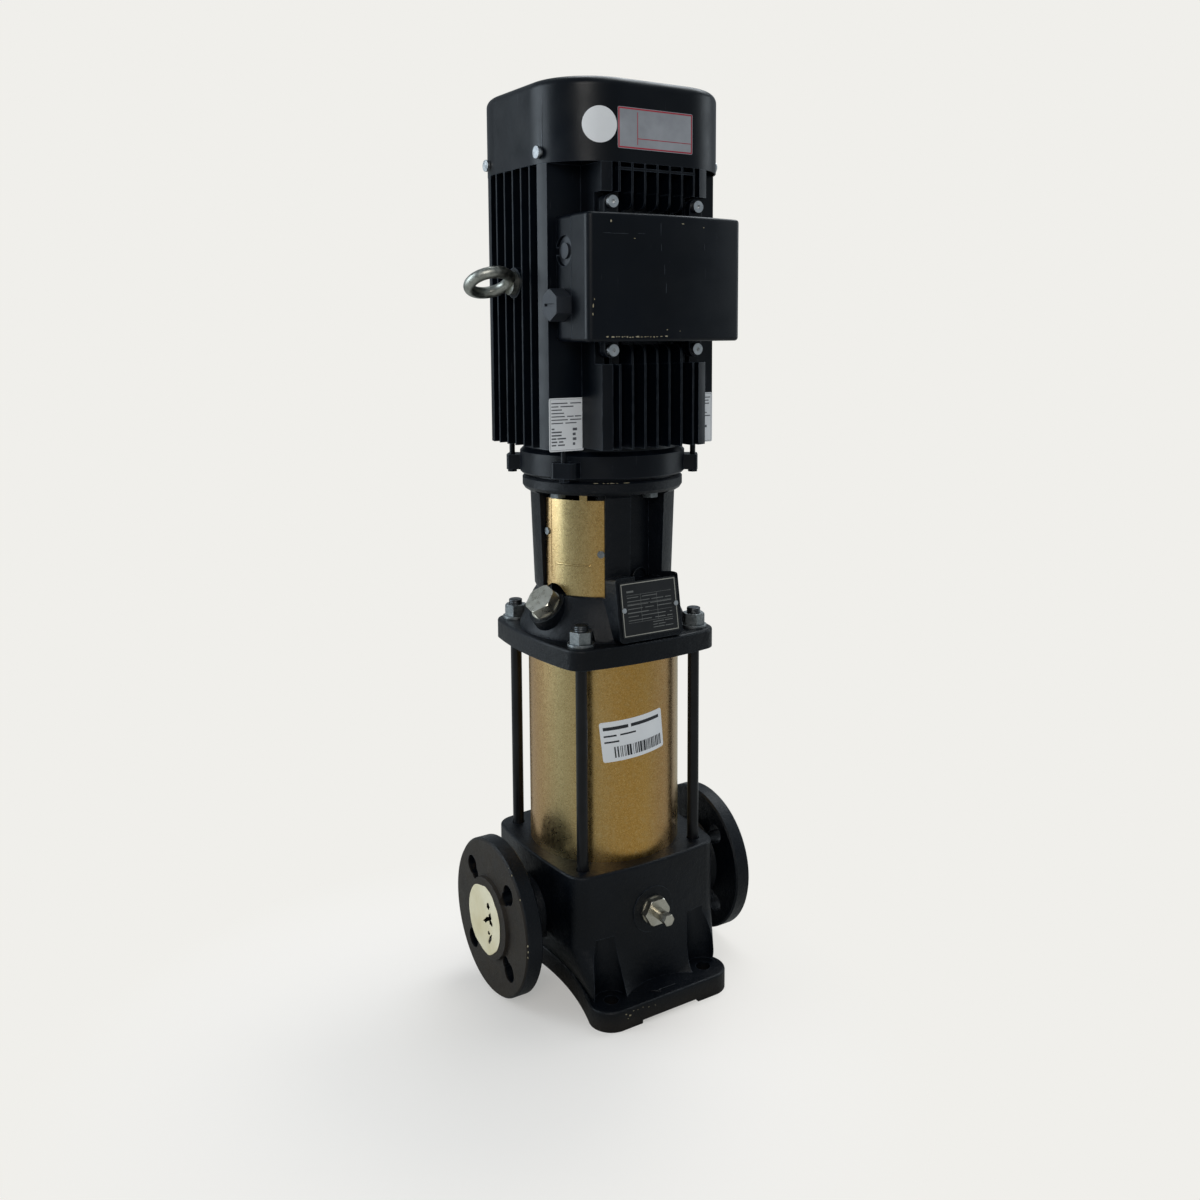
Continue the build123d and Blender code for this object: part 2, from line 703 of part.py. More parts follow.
def make_coupling_guard(turn):
    """Bent sheet in the window; its lower left corner is cut back around the priming plug's boss."""
    height = guard_top_z - guard_bottom_z
    sheet = extrude(guard_sheet(guard_r), height) - extrude(guard_sheet(guard_r - guard_thickness), height)
    sheet = Pos(0, 0, guard_bottom_z) * sheet
    margin = 0.6
    sheet &= sector(stool_ring_r, window_from + margin, window_to - margin, guard_bottom_z, guard_top_z)
    bead_from = window_from + guard_crease + 2
    bead_arc = CenterArc((0, 0), guard_r, bead_from, window_to - guard_crease - bead_from)
    section = Plane(origin=bead_arc @ 0, z_dir=bead_arc % 0) * Circle(guard_bead_r)
    sheet += Pos(0, 0, guard_bottom_z + guard_bead_rise) * sweep(section, bead_arc)
    boss = prime_place() * extrude(Circle(prime_boss_r + 2.5), 60, both=True)
    sheet = Rot(0, 0, turn) * (sheet - boss)
    for place in guard_screw_places():
        sheet -= place * extrude(Circle(guard_screw_r + guard_clearance), guard_thickness * 3, both=True)
    return sheet


def guard_screw_places():
    """Seats of the screws on the outside of both guards."""
    places = []
    for turn in (0, 180):
        left = (window_from + 4 + turn, guard_screw_rise_left)
        right = (window_to - 3.5 + turn, guard_screw_rise_right)
        for angle, rise in (left, right):
            seat = polar(guard_r, angle, guard_bottom_z + rise)
            places.append(Plane(origin=seat, z_dir=polar(1, angle)))
    return places


def make_guard_screws():
    """Button-head screws through the two upright edges of each guard."""
    screws = []
    for place in guard_screw_places():
        shank = extrude(Circle(guard_screw_r), 0.5 - guard_screw_length)
        screws.append(place * (shank + extrude(Circle(guard_screw_r * 1.6), 1.6)))
    return screws


# ================================================================ pump stages
def stack_top_z():
    return stack_bottom_z + stage_count * stage_height


def blade(inner_r, outer_r, sweep_degrees, thickness, height):
    """Blade standing on the XY plane; it sweeps back as it runs outwards."""
    start = polar(inner_r, 0)[:2]
    middle = polar(0.56 * outer_r + 0.44 * inner_r, 0.62 * sweep_degrees)[:2]
    end = polar(outer_r, sweep_degrees)[:2]
    centreline = ThreePointArc(start, middle, end)
    strip = trace(centreline, line_width=thickness)
    return extrude(strip, height)


def make_inlet_chamber():
    """Bottom of the stack: a spigot in the suction eye and a rim under the first stage."""
    plate_z = rim_top_z
    part = ring(eye_r - seat_clearance, eye_r - 3, plate_z - spigot_depth, plate_z)
    part += ring(chamber_r, eye_hole_r, plate_z, plate_z + 3)
    part += ring(chamber_r, chamber_r - chamber_wall, plate_z + 3, stack_bottom_z)
    part += ring(eye_hole_r + 3, eye_hole_r, plate_z + 3, stack_bottom_z)
    return part


def make_chamber(stage):
    """One stage's chamber: wall, diffuser plate and curved return vanes under its ceiling."""
    low = stack_bottom_z + stage * stage_height
    ceiling = low + stage_height - 1.5
    diffuser = low + impeller_lift + impeller_height + diffuser_gap
    part = ring(chamber_r, chamber_r - chamber_wall, low, low + stage_height)
    part += ring(chamber_r - chamber_wall, eye_hole_r, ceiling, ceiling + 1.5)
    part += ring(impeller_r + 3, hub_r + wall_clearance, diffuser, diffuser + 1.2)
    height = ceiling - diffuser - 0.9
    vane = Pos(0, 0, diffuser + 1) * blade(eye_hole_r + 2, impeller_r + 2, 48, vane_thickness, height)
    for turn in range(vane_count):
        part += Rot(0, 0, 360 / vane_count * turn) * vane
    return part


def make_impeller(stage):
    """Closed impeller: eye, two shrouds with swept blades between them, and a hub on the shaft."""
    low = stack_bottom_z + stage * stage_height + impeller_lift
    back = low + impeller_height - shroud_thickness
    wheel = ring(impeller_r, impeller_eye_r, low, low + shroud_thickness)
    wheel += ring(impeller_eye_r + impeller_eye_wall, impeller_eye_r, low - 4.5, low + shroud_thickness)
    wheel += ring(impeller_r, pump_shaft_r, back, back + shroud_thickness)
    wheel += ring(hub_r, pump_shaft_r, low - impeller_lift + 1.5, low - impeller_lift + stage_height + 1.5)
    depth = back - low - shroud_thickness
    vane = blade(blade_inlet_r, impeller_r - 0.2, -75, blade_thickness, depth + 0.4)
    for turn in range(blade_count):
        wheel += Pos(0, 0, low + shroud_thickness - 0.2) * Rot(0, 0, 360 / blade_count * turn) * vane
    return wheel


def make_top_chamber():
    """Ring of outlet windows between the last stage and the pump head."""
    part = ring(chamber_r, chamber_r - chamber_wall, stack_top_z(), head_plate_z)
    reach = chamber_r + 2
    half = outlet_window / 2
    for turn in range(3):
        part -= Rot(0, 0, 60 * turn) * block(-reach, reach, -half, half, stack_top_z() + 3, head_plate_z - 3)
    part += ring(chamber_r - chamber_wall, seal_ring_r + 4, stack_top_z(), stack_top_z() + 1.5)
    return part


def make_pump_shaft():
    """Splined shaft, plain here, with a thicker coupling end and a collar under the first impeller."""
    shoulder = coupling_bottom_z - 4
    shaft = post(pump_shaft_r, shaft_bottom_z, shoulder) + post(pump_shaft_end_r, shoulder, pump_shaft_end_z)
    first_hub = stack_bottom_z + 1.5
    shaft += post(hub_r, first_hub - 6, first_hub)
    return shaft - bar_y(pin_r, -stool_inner_r, stool_inner_r, 0, pin_z)


# ================================================================ shaft seal and coupling
def seal_plane_z():
    return head_floor_z() - 8


def make_seal_gland():
    low = head_floor_z()
    part = post(gland_r, low, low + gland_height) + post(seal_bore_r - 0.15, seal_plane_z(), low)
    part += Pos(0, 0, low + gland_height) * hexagon(32, 5)
    return part - post(pump_shaft_end_r + wall_clearance, seal_plane_z() - 1, low + gland_height + 10)


def make_seal_seat_ring():
    high = seal_plane_z()
    return ring(seal_ring_r + 1, pump_shaft_r + wall_clearance + 0.2, high - 4, high)


def make_seal_rotating_ring():
    """Rotating face on its drive sleeve, which stands on the last impeller's hub."""
    high = seal_plane_z() - 4 - 0.05
    last_hub = stack_top_z() + 1.5
    part = ring(seal_ring_r, pump_shaft_r, high - seal_ring_height, high)
    return part + ring(hub_r, pump_shaft_r, last_hub, high - seal_ring_height)


def make_coupling_half(side):
    """Half shell that clamps both shaft ends; the two halves are split along the YZ plane."""
    shell = post(coupling_r, coupling_bottom_z, coupling_top_z)
    shell = chamfer(shell.edges().filter_by(GeomType.CIRCLE), 2)
    shell -= post(motor_shaft_r, motor_shaft_bottom_z - 4, coupling_top_z + 1)
    shell -= post(pump_shaft_end_r, coupling_bottom_z - 1, pump_shaft_end_z)
    shell -= post(pump_shaft_r, pump_shaft_end_z - 1, motor_shaft_bottom_z)
    shell -= bar_y(pin_r, -coupling_r, coupling_r, 0, pin_z)
    for y, z in coupling_screw_places():
        shell -= bar_x(coupling_screw_r, -coupling_r, coupling_r, y, z)
        shell -= bar_x(coupling_screw_r * 1.8, side * coupling_screw_seat, side * coupling_r, y, z)
    edge = side * coupling_split / 2
    return shell & block(edge, side * 40, -40, 40, coupling_bottom_z - 1, coupling_top_z + 1)


def coupling_screw_places():
    levels = (coupling_bottom_z + coupling_screw_rise, coupling_top_z - coupling_screw_rise)
    return [(y, z) for y in (-coupling_screw_y, coupling_screw_y) for z in levels]


def make_coupling_screws():
    screws = []
    head = coupling_screw_seat + 2 * coupling_screw_r
    for y, z in coupling_screw_places():
        screw = bar_x(coupling_screw_r, 1 - head, coupling_screw_seat, y, z)
        for x0, x1 in ((coupling_screw_seat, head), (1 - head, -coupling_screw_seat)):
            screw += bar_x(coupling_screw_r * 1.6, x0, x1, y, z)
        screws.append(screw)
    return screws


def make_coupling_pin():
    return bar_y(pin_r, -pump_shaft_end_r - 5, pump_shaft_end_r + 5, 0, pin_z)


# ================================================================ motor, turning parts
def make_motor_shaft():
    shaft = post(motor_shaft_r, motor_shaft_bottom_z, lower_bearing_z)
    shaft += post(bearing_seat_r, lower_bearing_z, lower_bearing_z + bearing_width)
    shaft += post(rotor_bore_r, lower_bearing_z + bearing_width, upper_bearing_z)
    shaft += post(bearing_seat_r, upper_bearing_z, upper_bearing_z + bearing_width)
    return shaft + post(motor_shaft_r, upper_bearing_z + bearing_width, motor_shaft_top_z)


def make_rotor_core():
    """Laminated core with the two short-circuit rings and their cooling wings."""
    high = stator_bottom_z + stator_height
    core = ring(stator_inner_r - air_gap, rotor_bore_r, stator_bottom_z, high)
    core += ring(stator_inner_r - 2, stator_inner_r - 14, stator_bottom_z - 10, high + 10)
    return core


def make_bearing_inner_rings():
    return [ring(bearing_split_inner_r, bearing_seat_r, z, z + bearing_width)
            for z in (lower_bearing_z, upper_bearing_z)]


def make_fan():
    fan = ring(fan_hub_r, motor_shaft_r, fan_bottom_z, fan_bottom_z + fan_height - 4)
    fan += ring(fan_r, fan_hub_r - 1, fan_bottom_z, fan_bottom_z + fan_disc_thickness)
    for turn in range(fan_blades):
        wing = block(fan_hub_r - 1, fan_r - 2, -fan_blade_thickness / 2, fan_blade_thickness / 2,
                     fan_bottom_z + 1, fan_bottom_z + fan_height)
        fan += Rot(0, 0, 360 / fan_blades * turn) * wing
    return fan


# ================================================================ motor, fixed parts
def make_drive_end_shield():
    """Lower end shield: pilot spigot, flange, bearing seat and four lugs for the tie bolts."""
    bearing_top = lower_bearing_z + bearing_width
    profile = Polyline((bearing_split_outer_r + 1, stool_top_z - 3), (motor_pilot_r, stool_top_z - 3),
                       (motor_pilot_r, stool_top_z), (stool_ring_r - 5, stool_top_z),
                       (stool_ring_r - 5, shield_bottom_z), (shield_r - 1.5, shield_bottom_z),
                       (shield_r, shield_bottom_z + 1.5), (shield_r, shield_top_z - 8),
                       (shield_r - 4, shield_top_z - 4), (shield_r - 4, shield_top_z),
                       (housing_bore_r - 3, shield_top_z), (housing_bore_r - 3, shield_top_z - 6),
                       (bearing_r + 6, bearing_top), (bearing_r, bearing_top),
                       (bearing_r, lower_bearing_z), (bearing_split_outer_r + 1, lower_bearing_z), close=True)
    shield = revolve(Plane.XZ * make_face(profile), Axis.Z)
    for x, y in at_corners(tie_bolt_x, tie_bolt_y):
        half = lug_width / 2
        lug = block(shield_r - 9, lug_reach_r, -half, half, lug_bottom_z, lug_bottom_z + lug_height)
        lug = fillet(lug.edges().filter_by(Axis.Z).filter_by_position(Axis.X, lug_reach_r, lug_reach_r), 4)
        shield += Rot(0, 0, math.degrees(math.atan2(y, x))) * lug
        shield -= post(tie_bolt_r + stay_clearance, lug_bottom_z - 1, shield_top_z + 1, x, y)
    for turn in range(4):
        x, y, _ = polar(motor_bolt_r, motor_bolt_angle + 90 * turn)
        shield -= post(motor_bolt_shank_r, stool_top_z - 1, stool_top_z + 14, x, y)
    return shield


def make_motor_flange_bolts():
    bolts = []
    head_top = stool_top_z - stool_ring_height
    for turn in range(4):
        x, y, _ = polar(motor_bolt_r, motor_bolt_angle + 90 * turn)
        bolt = post(motor_bolt_shank_r, head_top, stool_top_z + 13, x, y)
        bolts.append(bolt + Pos(x, y, head_top) * Rot(180, 0, 0) * hexagon(13, 5.3))
    return bolts


def housing_envelope(z0, z1, inset=0.0):
    return Pos(0, 0, z0) * extrude(rounded_square(motor_half - inset, motor_corner_r - inset), z1 - z0)


def fin(reach, root):
    """Plan of one cooling fin along X, thinner at its tip."""
    corners = [(root, -fin_root / 2), (reach, -fin_tip / 2), (reach, fin_tip / 2), (root, fin_root / 2)]
    return make_face(Polyline(corners, close=True))


def make_stator_housing():
    """Extruded frame: round core, fins cut to a rounded square, a flat and a column at each corner."""
    plan = Circle(housing_core_r)
    for side in (0, 180):
        for index in range(side_fin_count):
            y = (index - (side_fin_count - 1) / 2) * side_fin_pitch
            plan += Rot(0, 0, side) * Pos(0, y) * fin(motor_half + 1, housing_core_r * 0.5)
    for side in (90, 270):
        for index in range(front_fin_count):
            y = (index - (front_fin_count - 1) / 2) * front_fin_pitch
            plan += Rot(0, 0, side) * Pos(0, y) * fin(motor_half + 1, housing_core_r * 0.5)
    for sx in (-1, 1):
        for sy in (-1, 1):
            # Solid corner between the last side fin and the flat, and the rounded column next to it
            flat_y = corner_flat - corner_wall / 2
            plan += Pos(sx * motor_half * 0.75, sy * flat_y) * Rectangle(motor_half / 2, corner_wall)
            column_x = corner_flat - corner_column / 2
            column_root = corner_flat - corner_wall
            column_y = (motor_half + column_root) / 2
            plan += Pos(sx * column_x, sy * column_y) * Rectangle(corner_column, motor_half - column_root)
    plan &= rounded_square(motor_half, motor_corner_r)
    plan -= Circle(housing_bore_r)
    housing = Pos(0, 0, housing_bottom_z) * extrude(plan, housing_top_z - housing_bottom_z)
    # The terminal box stands on a flat seat milled across the front fins
    seat_margin = box_screw_gap + 8
    housing -= block(-box_half + 4, box_half - 4, -motor_half - 1, -box_back_y,
                     box_bottom_z - seat_margin, box_top_z + seat_margin)
    # Seat of the eyebolt
    boss = bar_x(eye_collar_r + 3, -motor_half, -housing_core_r + 3, 0, eye_z)
    housing += boss
    housing -= bar_x(eye_thread_r, -motor_half - 1, -housing_core_r, 0, eye_z)
    for x, y in at_corners(tie_bolt_x, tie_bolt_y):
        housing -= post(tie_bolt_r + stay_clearance, housing_bottom_z - 1, housing_top_z + 1, x, y)
    return housing


def make_stator_core():
    return ring(housing_bore_r, stator_inner_r, stator_bottom_z, stator_bottom_z + stator_height)


def make_stator_windings():
    """The two coil heads that stand out of the core."""
    high = stator_bottom_z + stator_height
    lower = ring(winding_outer_r, winding_inner_r, stator_bottom_z - winding_overhang, stator_bottom_z)
    upper = ring(winding_outer_r, winding_inner_r, high, high + winding_overhang)
    return [lower, upper]


def make_rear_end_shield():
    """Upper end shield: it closes the frame, holds the upper bearing and carries the cowl on four ears."""
    top = housing_top_z + rear_shield_height
    bearing_top = upper_bearing_z + bearing_width
    rim_top = housing_top_z + ear_height
    profile = Polyline((bearing_split_outer_r, bearing_top), (bearing_r, bearing_top),
                       (bearing_r, upper_bearing_z), (bearing_r + 6, upper_bearing_z),
                       (bearing_r + 10, housing_top_z - 4), (housing_bore_r, housing_top_z - 4),
                       (housing_bore_r, housing_top_z), (housing_core_r, housing_top_z),
                       (housing_core_r, rim_top), (housing_core_r - 14, rim_top),
                       (bearing_r + 10, top), (bearing_split_outer_r, top), close=True)
    shield = revolve(Plane.XZ * make_face(profile), Axis.Z)
    ear_tip = motor_half - cowl_wall - cowl_gap
    inside_cowl = housing_envelope(housing_top_z, cowl_top_z, cowl_wall + cowl_gap)
    low = cowl_screw_offset - ear_width / 2
    high = cowl_screw_offset + ear_width / 2
    for sx, sy in at_corners(1, 1):
        upright = sx * (tie_bolt_x + 5.5)
        ear = block(sx * housing_core_r * 0.6, sx * ear_tip, sy * low, sy * high, housing_top_z, rim_top)
        ear += block(upright, sx * ear_tip, sy * low, sy * high, housing_top_z, cowl_screw_z + 7)
        shield += ear & inside_cowl
        hole_y = sy * cowl_screw_offset
        shield -= bar_x(cowl_screw_r, sx * (ear_tip - 12), sx * (ear_tip + 1), hole_y, cowl_screw_z)
    for x, y in at_corners(tie_bolt_x, tie_bolt_y):
        shield -= post(tie_bolt_r + stay_clearance, housing_top_z - 1, top + 20, x, y)
    return shield


def make_bearing_outer_rings():
    return [ring(bearing_r, bearing_split_outer_r, z, z + bearing_width)
            for z in (lower_bearing_z, upper_bearing_z)]


def make_tie_bolts():
    """Long bolts that clamp the two end shields on the frame."""
    bolts = []
    for x, y in at_corners(tie_bolt_x, tie_bolt_y):
        seat = housing_top_z + ear_height
        bolt = post(tie_bolt_r, lug_bottom_z, seat + 6, x, y) + Pos(x, y, seat) * hexagon(8, 4)
        bolts.append(bolt + Pos(x, y, lug_bottom_z) * Rot(180, 0, 0) * hexagon(8, 3))
    return bolts


# ================================================================ fan cowl
def make_fan_cowl():
    """Pressed cap with rounded edges, open below, its top slotted as an air intake."""
    outside = housing_envelope(housing_top_z, cowl_top_z)
    outside = fillet_top(outside, cowl_top_z, cowl_edge_r)
    inside = housing_envelope(housing_top_z - 1, cowl_top_z - cowl_wall, cowl_wall)
    inside = fillet_top(inside, cowl_top_z - cowl_wall, cowl_edge_r - cowl_wall)
    cowl = outside - inside
    rows = int(cowl_grille_r // cowl_slot_pitch)
    half_slot = cowl_slot_width / 2
    for row in range(-rows, rows + 1):
        y = row * cowl_slot_pitch
        half = math.sqrt(cowl_grille_r ** 2 - y ** 2)
        cowl -= block(-half, half, y - half_slot, y + half_slot, cowl_top_z - 4, cowl_top_z + 1)
    # Bar that ties the grille across its middle
    cowl += block(-4, 4, -cowl_grille_r, cowl_grille_r, cowl_top_z - cowl_wall, cowl_top_z)
    hole_r = cowl_screw_r + 0.2
    for sx, sy in at_corners(1, 1):
        y = sy * cowl_screw_offset
        cowl -= bar_x(hole_r, sx * (motor_half - 19), sx * (motor_half + 1), y, cowl_screw_z)
    return cowl


def make_cowl_screws():
    screws = []
    for sx, sy in at_corners(1, 1):
        y = sy * cowl_screw_offset
        seat = sx * motor_half
        shank = bar_x(cowl_screw_r, sx * (motor_half - 10), sx * (motor_half + 0.5), y, cowl_screw_z)
        screws.append(shank + bar_x(cowl_screw_r * 1.7, seat, seat + sx * cowl_screw_head, y, cowl_screw_z))
    return screws


# ================================================================ terminal box
def box_screw_places():
    levels = (box_bottom_z - box_screw_gap_lower, box_top_z + box_screw_gap)
    return [(sx * box_screw_x, z) for sx in (-1, 1) for z in levels]


def make_terminal_box_base():
    """Floor on the milled seat of the frame and two deep cheeks in its corners, tapped for cable entries."""
    base = block(-box_half, box_half, -box_back_y, -box_split_y, box_bottom_z, box_top_z)
    for side in (-1, 1):
        clear = corner_flat + wall_clearance
        base += block(side * clear, side * box_half, -clear, -box_back_y - 1, box_bottom_z, box_top_z)
    outer_edges = [e for e in base.edges().filter_by(Axis.Y) if abs(e.center().X) > box_half - 1]
    base = fillet(outer_edges, box_corner_r - 2)
    for side in (-1, 1):
        outside = side * (box_half + 1)
        base -= bar_x(entry_r, side * (box_half - entry_recess), outside, -entry_y, entry_z_upper)
        for z in (entry_z_upper, entry_z_lower):
            base -= bar_x(entry_r - 3, side * (box_half - entry_depth), outside, -entry_y, z)
    for x, z in box_screw_places():
        base += box_ear(x, z, box_back_y, box_split_y)
        base -= bar_y(box_screw_r, -box_back_y + 1, -box_split_y - 1, x, z)
    return base


def box_ear(x, z, y_from, y_to):
    """Rounded ear beside the upper or lower edge of the box."""
    inward = box_bottom_z + 5 if z < box_bottom_z else box_top_z - 5
    ear_r = box_screw_r + 4
    return bar_y(ear_r, -y_from, -y_to, x, z) + block(x - ear_r, x + ear_r, -y_from, -y_to, z, inward)


def make_terminal_box_cover():
    """Deep cover whose front bulges slightly."""

    def plan(inset):
        y_back = -box_split_y
        y_edge = -box_edge_y + inset
        x = box_half - inset
        front = ThreePointArc((-x, y_edge), (0, -box_bulge_y + inset), (x, y_edge))
        edges = [Line((-x, y_back), (-x, y_edge)), front,
                 Line((x, y_edge), (x, y_back)), Line((x, y_back), (-x, y_back))]
        return make_face(Wire(edges))

    body = Pos(0, 0, box_bottom_z) * extrude(plan(0), box_top_z - box_bottom_z)
    upright = [e for e in body.edges().filter_by(Axis.Z) if e.center().Y < -box_split_y - 5]
    body = fillet(upright, box_corner_r)
    rim = [e for e in body.edges() if abs(e.center().Z - (box_bottom_z + box_top_z) / 2) > box_height / 2 - 1
           and e.center().Y < -box_split_y - 1]
    body = fillet(rim, box_corner_r / 2)
    inner = Pos(0, 0, box_bottom_z + box_wall) * extrude(plan(box_wall), box_height - 2 * box_wall)
    body -= inner
    ear_front = box_split_y + box_ear_depth
    for x, z in box_screw_places():
        body += box_ear(x, z, box_split_y, ear_front) - inner
        body -= bar_y(box_screw_r + 0.3, -box_split_y + 1, -ear_front - 1, x, z)
    return body


def make_terminal_box_screws():
    screws = []
    seat = box_split_y + box_ear_depth
    tip = seat + box_screw_head
    socket = Rot(90, 0, 0) * extrude(RegularPolygon(box_screw_r * 0.72, 6), box_screw_head / 2, both=True)
    for x, z in box_screw_places():
        screw = bar_y(box_screw_r, -box_back_y, -seat - 0.5, x, z) + bar_y(box_screw_r * 2, -seat, -tip, x, z)
        screws.append(screw - Pos(x, -tip, z) * socket)
    return screws


def make_terminal_board():
    """Moulded block with six studs."""
    middle_z = (box_bottom_z + box_top_z) / 2
    half_x = board_width / 2
    half_z = board_height / 2
    front = box_split_y + board_thickness
    board = block(-half_x, half_x, -box_split_y, -front, middle_z - half_z, middle_z + half_z)
    for column in (-1, 0, 1):
        for x, z in ((column * stud_pitch, -stud_row), (column * stud_pitch, stud_row)):
            board += bar_y(stud_r, -front + 1, -front - stud_length, x, middle_z + z)
    return board


def make_cable_entry_plugs():
    """On each side a flush blind plug above and a slotted hexagon plug below."""
    plugs = []
    thread_r = entry_r - 3
    for side in (-1, 1):
        inner_x = side * (box_half - entry_depth)
        seat_x = side * (box_half - entry_recess)
        blind = bar_x(thread_r, inner_x, seat_x, -entry_y, entry_z_upper)
        blind += bar_x(entry_r - 0.5, seat_x, seat_x + side * 1.5, -entry_y, entry_z_upper)
        blind += bar_x(entry_r - 6, seat_x, seat_x + side * 3.5, -entry_y, entry_z_upper)
        plugs.append(blind)
        thread = bar_x(thread_r, inner_x, side * box_half, -entry_y, entry_z_lower)
        place = Pos(side * box_half, -entry_y, entry_z_lower) * Rot(0, side * 90, 0)
        slot = Pos(0, 0, entry_height) * Box(2.4, 16, 4)
        plugs.append(thread + place * (hexagon(entry_across_flats, entry_height) - slot))
    return plugs


def make_eyebolt():
    """Lifting eye screwed into the side of the frame; its ring stands at a slant."""
    seat = -motor_half
    bolt = bar_x(eye_collar_r, seat, seat - eye_collar_height, 0, eye_z)
    bolt += bar_x(eye_thread_r, seat, -housing_core_r - 1, 0, eye_z)
    return bolt + Pos(-eye_centre_x, 0, eye_z) * Rot(-eye_tilt, 0, 0) * Torus(eye_ring_r, eye_section_r)


# ================================================================ all nodes
def build():
    os.makedirs("parts", exist_ok=True)
    makers = {
        "pump_base": make_pump_base, "drain_plug": make_drain_plug,
        "bypass_spindle": make_bypass_spindle, "bypass_cone": make_bypass_cone,
        "outer_sleeve": make_outer_sleeve, "sleeve_o_rings": make_sleeve_o_rings, "staybolts": make_staybolts,
        "staybolt_washers": make_staybolt_washers, "staybolt_nuts": make_staybolt_nuts,
        "pump_head": make_pump_head, "priming_plug": make_priming_plug, "nameplate": make_nameplate,
        "nameplate_rivets": make_nameplate_rivets, "guard_screws": make_guard_screws,
        "inlet_chamber": make_inlet_chamber, "top_chamber": make_top_chamber, "pump_shaft": make_pump_shaft,
        "seal_gland": make_seal_gland, "seal_seat_ring": make_seal_seat_ring,
        "seal_rotating_ring": make_seal_rotating_ring, "coupling_screws": make_coupling_screws,
        "coupling_pin": make_coupling_pin, "motor_shaft": make_motor_shaft, "rotor_core": make_rotor_core,
        "bearing_inner_rings": make_bearing_inner_rings, "bearing_outer_rings": make_bearing_outer_rings,
        "fan": make_fan, "drive_end_shield": make_drive_end_shield,
        "motor_flange_bolts": make_motor_flange_bolts,
        "stator_housing": make_stator_housing, "stator_core": make_stator_core,
        "stator_windings": make_stator_windings, "rear_end_shield": make_rear_end_shield,
        "tie_bolts": make_tie_bolts, "fan_cowl": make_fan_cowl, "cowl_screws": make_cowl_screws,
        "terminal_box_base": make_terminal_box_base, "terminal_box_cover": make_terminal_box_cover,
        "terminal_box_screws": make_terminal_box_screws, "terminal_board": make_terminal_board,
        "cable_entry_plugs": make_cable_entry_plugs, "eyebolt": make_eyebolt,
    }
    for node, maker in makers.items():
        save(node, maker())
    save("coupling_guard_left", make_coupling_guard(0))
    save("coupling_guard_right", make_coupling_guard(180))
    save("coupling_half_left", make_coupling_half(-1))
    save("coupling_half_right", make_coupling_half(1))
    for stage in range(stage_count):
        save(f"chamber_{stage + 1}", make_chamber(stage))
        save(f"impeller_{stage + 1}", make_impeller(stage))


build()
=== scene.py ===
"""Looks of the vertical multistage pump: finish of every piece, labels, threads, wear, light and camera."""
import math
import random

import bmesh
import bpy
from mathutils import Matrix, Vector


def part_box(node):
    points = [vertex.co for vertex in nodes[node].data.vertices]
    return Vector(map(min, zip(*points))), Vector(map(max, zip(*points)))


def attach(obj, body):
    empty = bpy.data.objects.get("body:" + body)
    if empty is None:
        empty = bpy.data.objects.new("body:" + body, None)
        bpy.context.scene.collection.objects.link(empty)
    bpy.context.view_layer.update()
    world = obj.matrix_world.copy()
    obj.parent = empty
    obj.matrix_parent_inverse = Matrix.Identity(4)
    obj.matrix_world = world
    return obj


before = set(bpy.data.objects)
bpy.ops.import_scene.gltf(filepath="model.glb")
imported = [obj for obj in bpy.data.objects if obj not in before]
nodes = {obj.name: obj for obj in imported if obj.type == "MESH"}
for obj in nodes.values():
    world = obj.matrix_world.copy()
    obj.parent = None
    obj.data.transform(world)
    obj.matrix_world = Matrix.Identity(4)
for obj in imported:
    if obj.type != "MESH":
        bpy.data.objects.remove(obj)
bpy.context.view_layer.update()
MM = 0.001

# ---------------------------------------------------------------- places taken from the frame
base_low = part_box("pump_base")[0]
cowl_low, cowl_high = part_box("fan_cowl")
plate_low, plate_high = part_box("nameplate")
cover_low, cover_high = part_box("terminal_box_cover")
sleeve_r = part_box("outer_sleeve")[1].x
stay_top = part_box("staybolts")[1].z
nut_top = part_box("staybolt_nuts")[1].z
motor_half = cowl_high.x

# ---------------------------------------------------------------- sizes of the CAD pieces
foot_height = 18 * MM
port_z = 75 * MM
port_bore_r = 17.5 * MM
flange_r = 70 * MM
stay_offset = 60 * MM
plate_lean = math.radians(9)
plate_thickness = 0.8 * MM
motor_corner_r = 56 * MM
flat_y = -53 * MM
fin_pitch = 12.5 * MM
box_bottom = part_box("stator_housing")[0].z + 90 * MM
cover_bulge = 7 * MM

# ---------------------------------------------------------------- how thin pieces lie on their surfaces
label_lift = 0.2 * MM
label_thickness = 0.17 * MM
print_lift = 0.26 * MM
print_thickness = 0.06 * MM


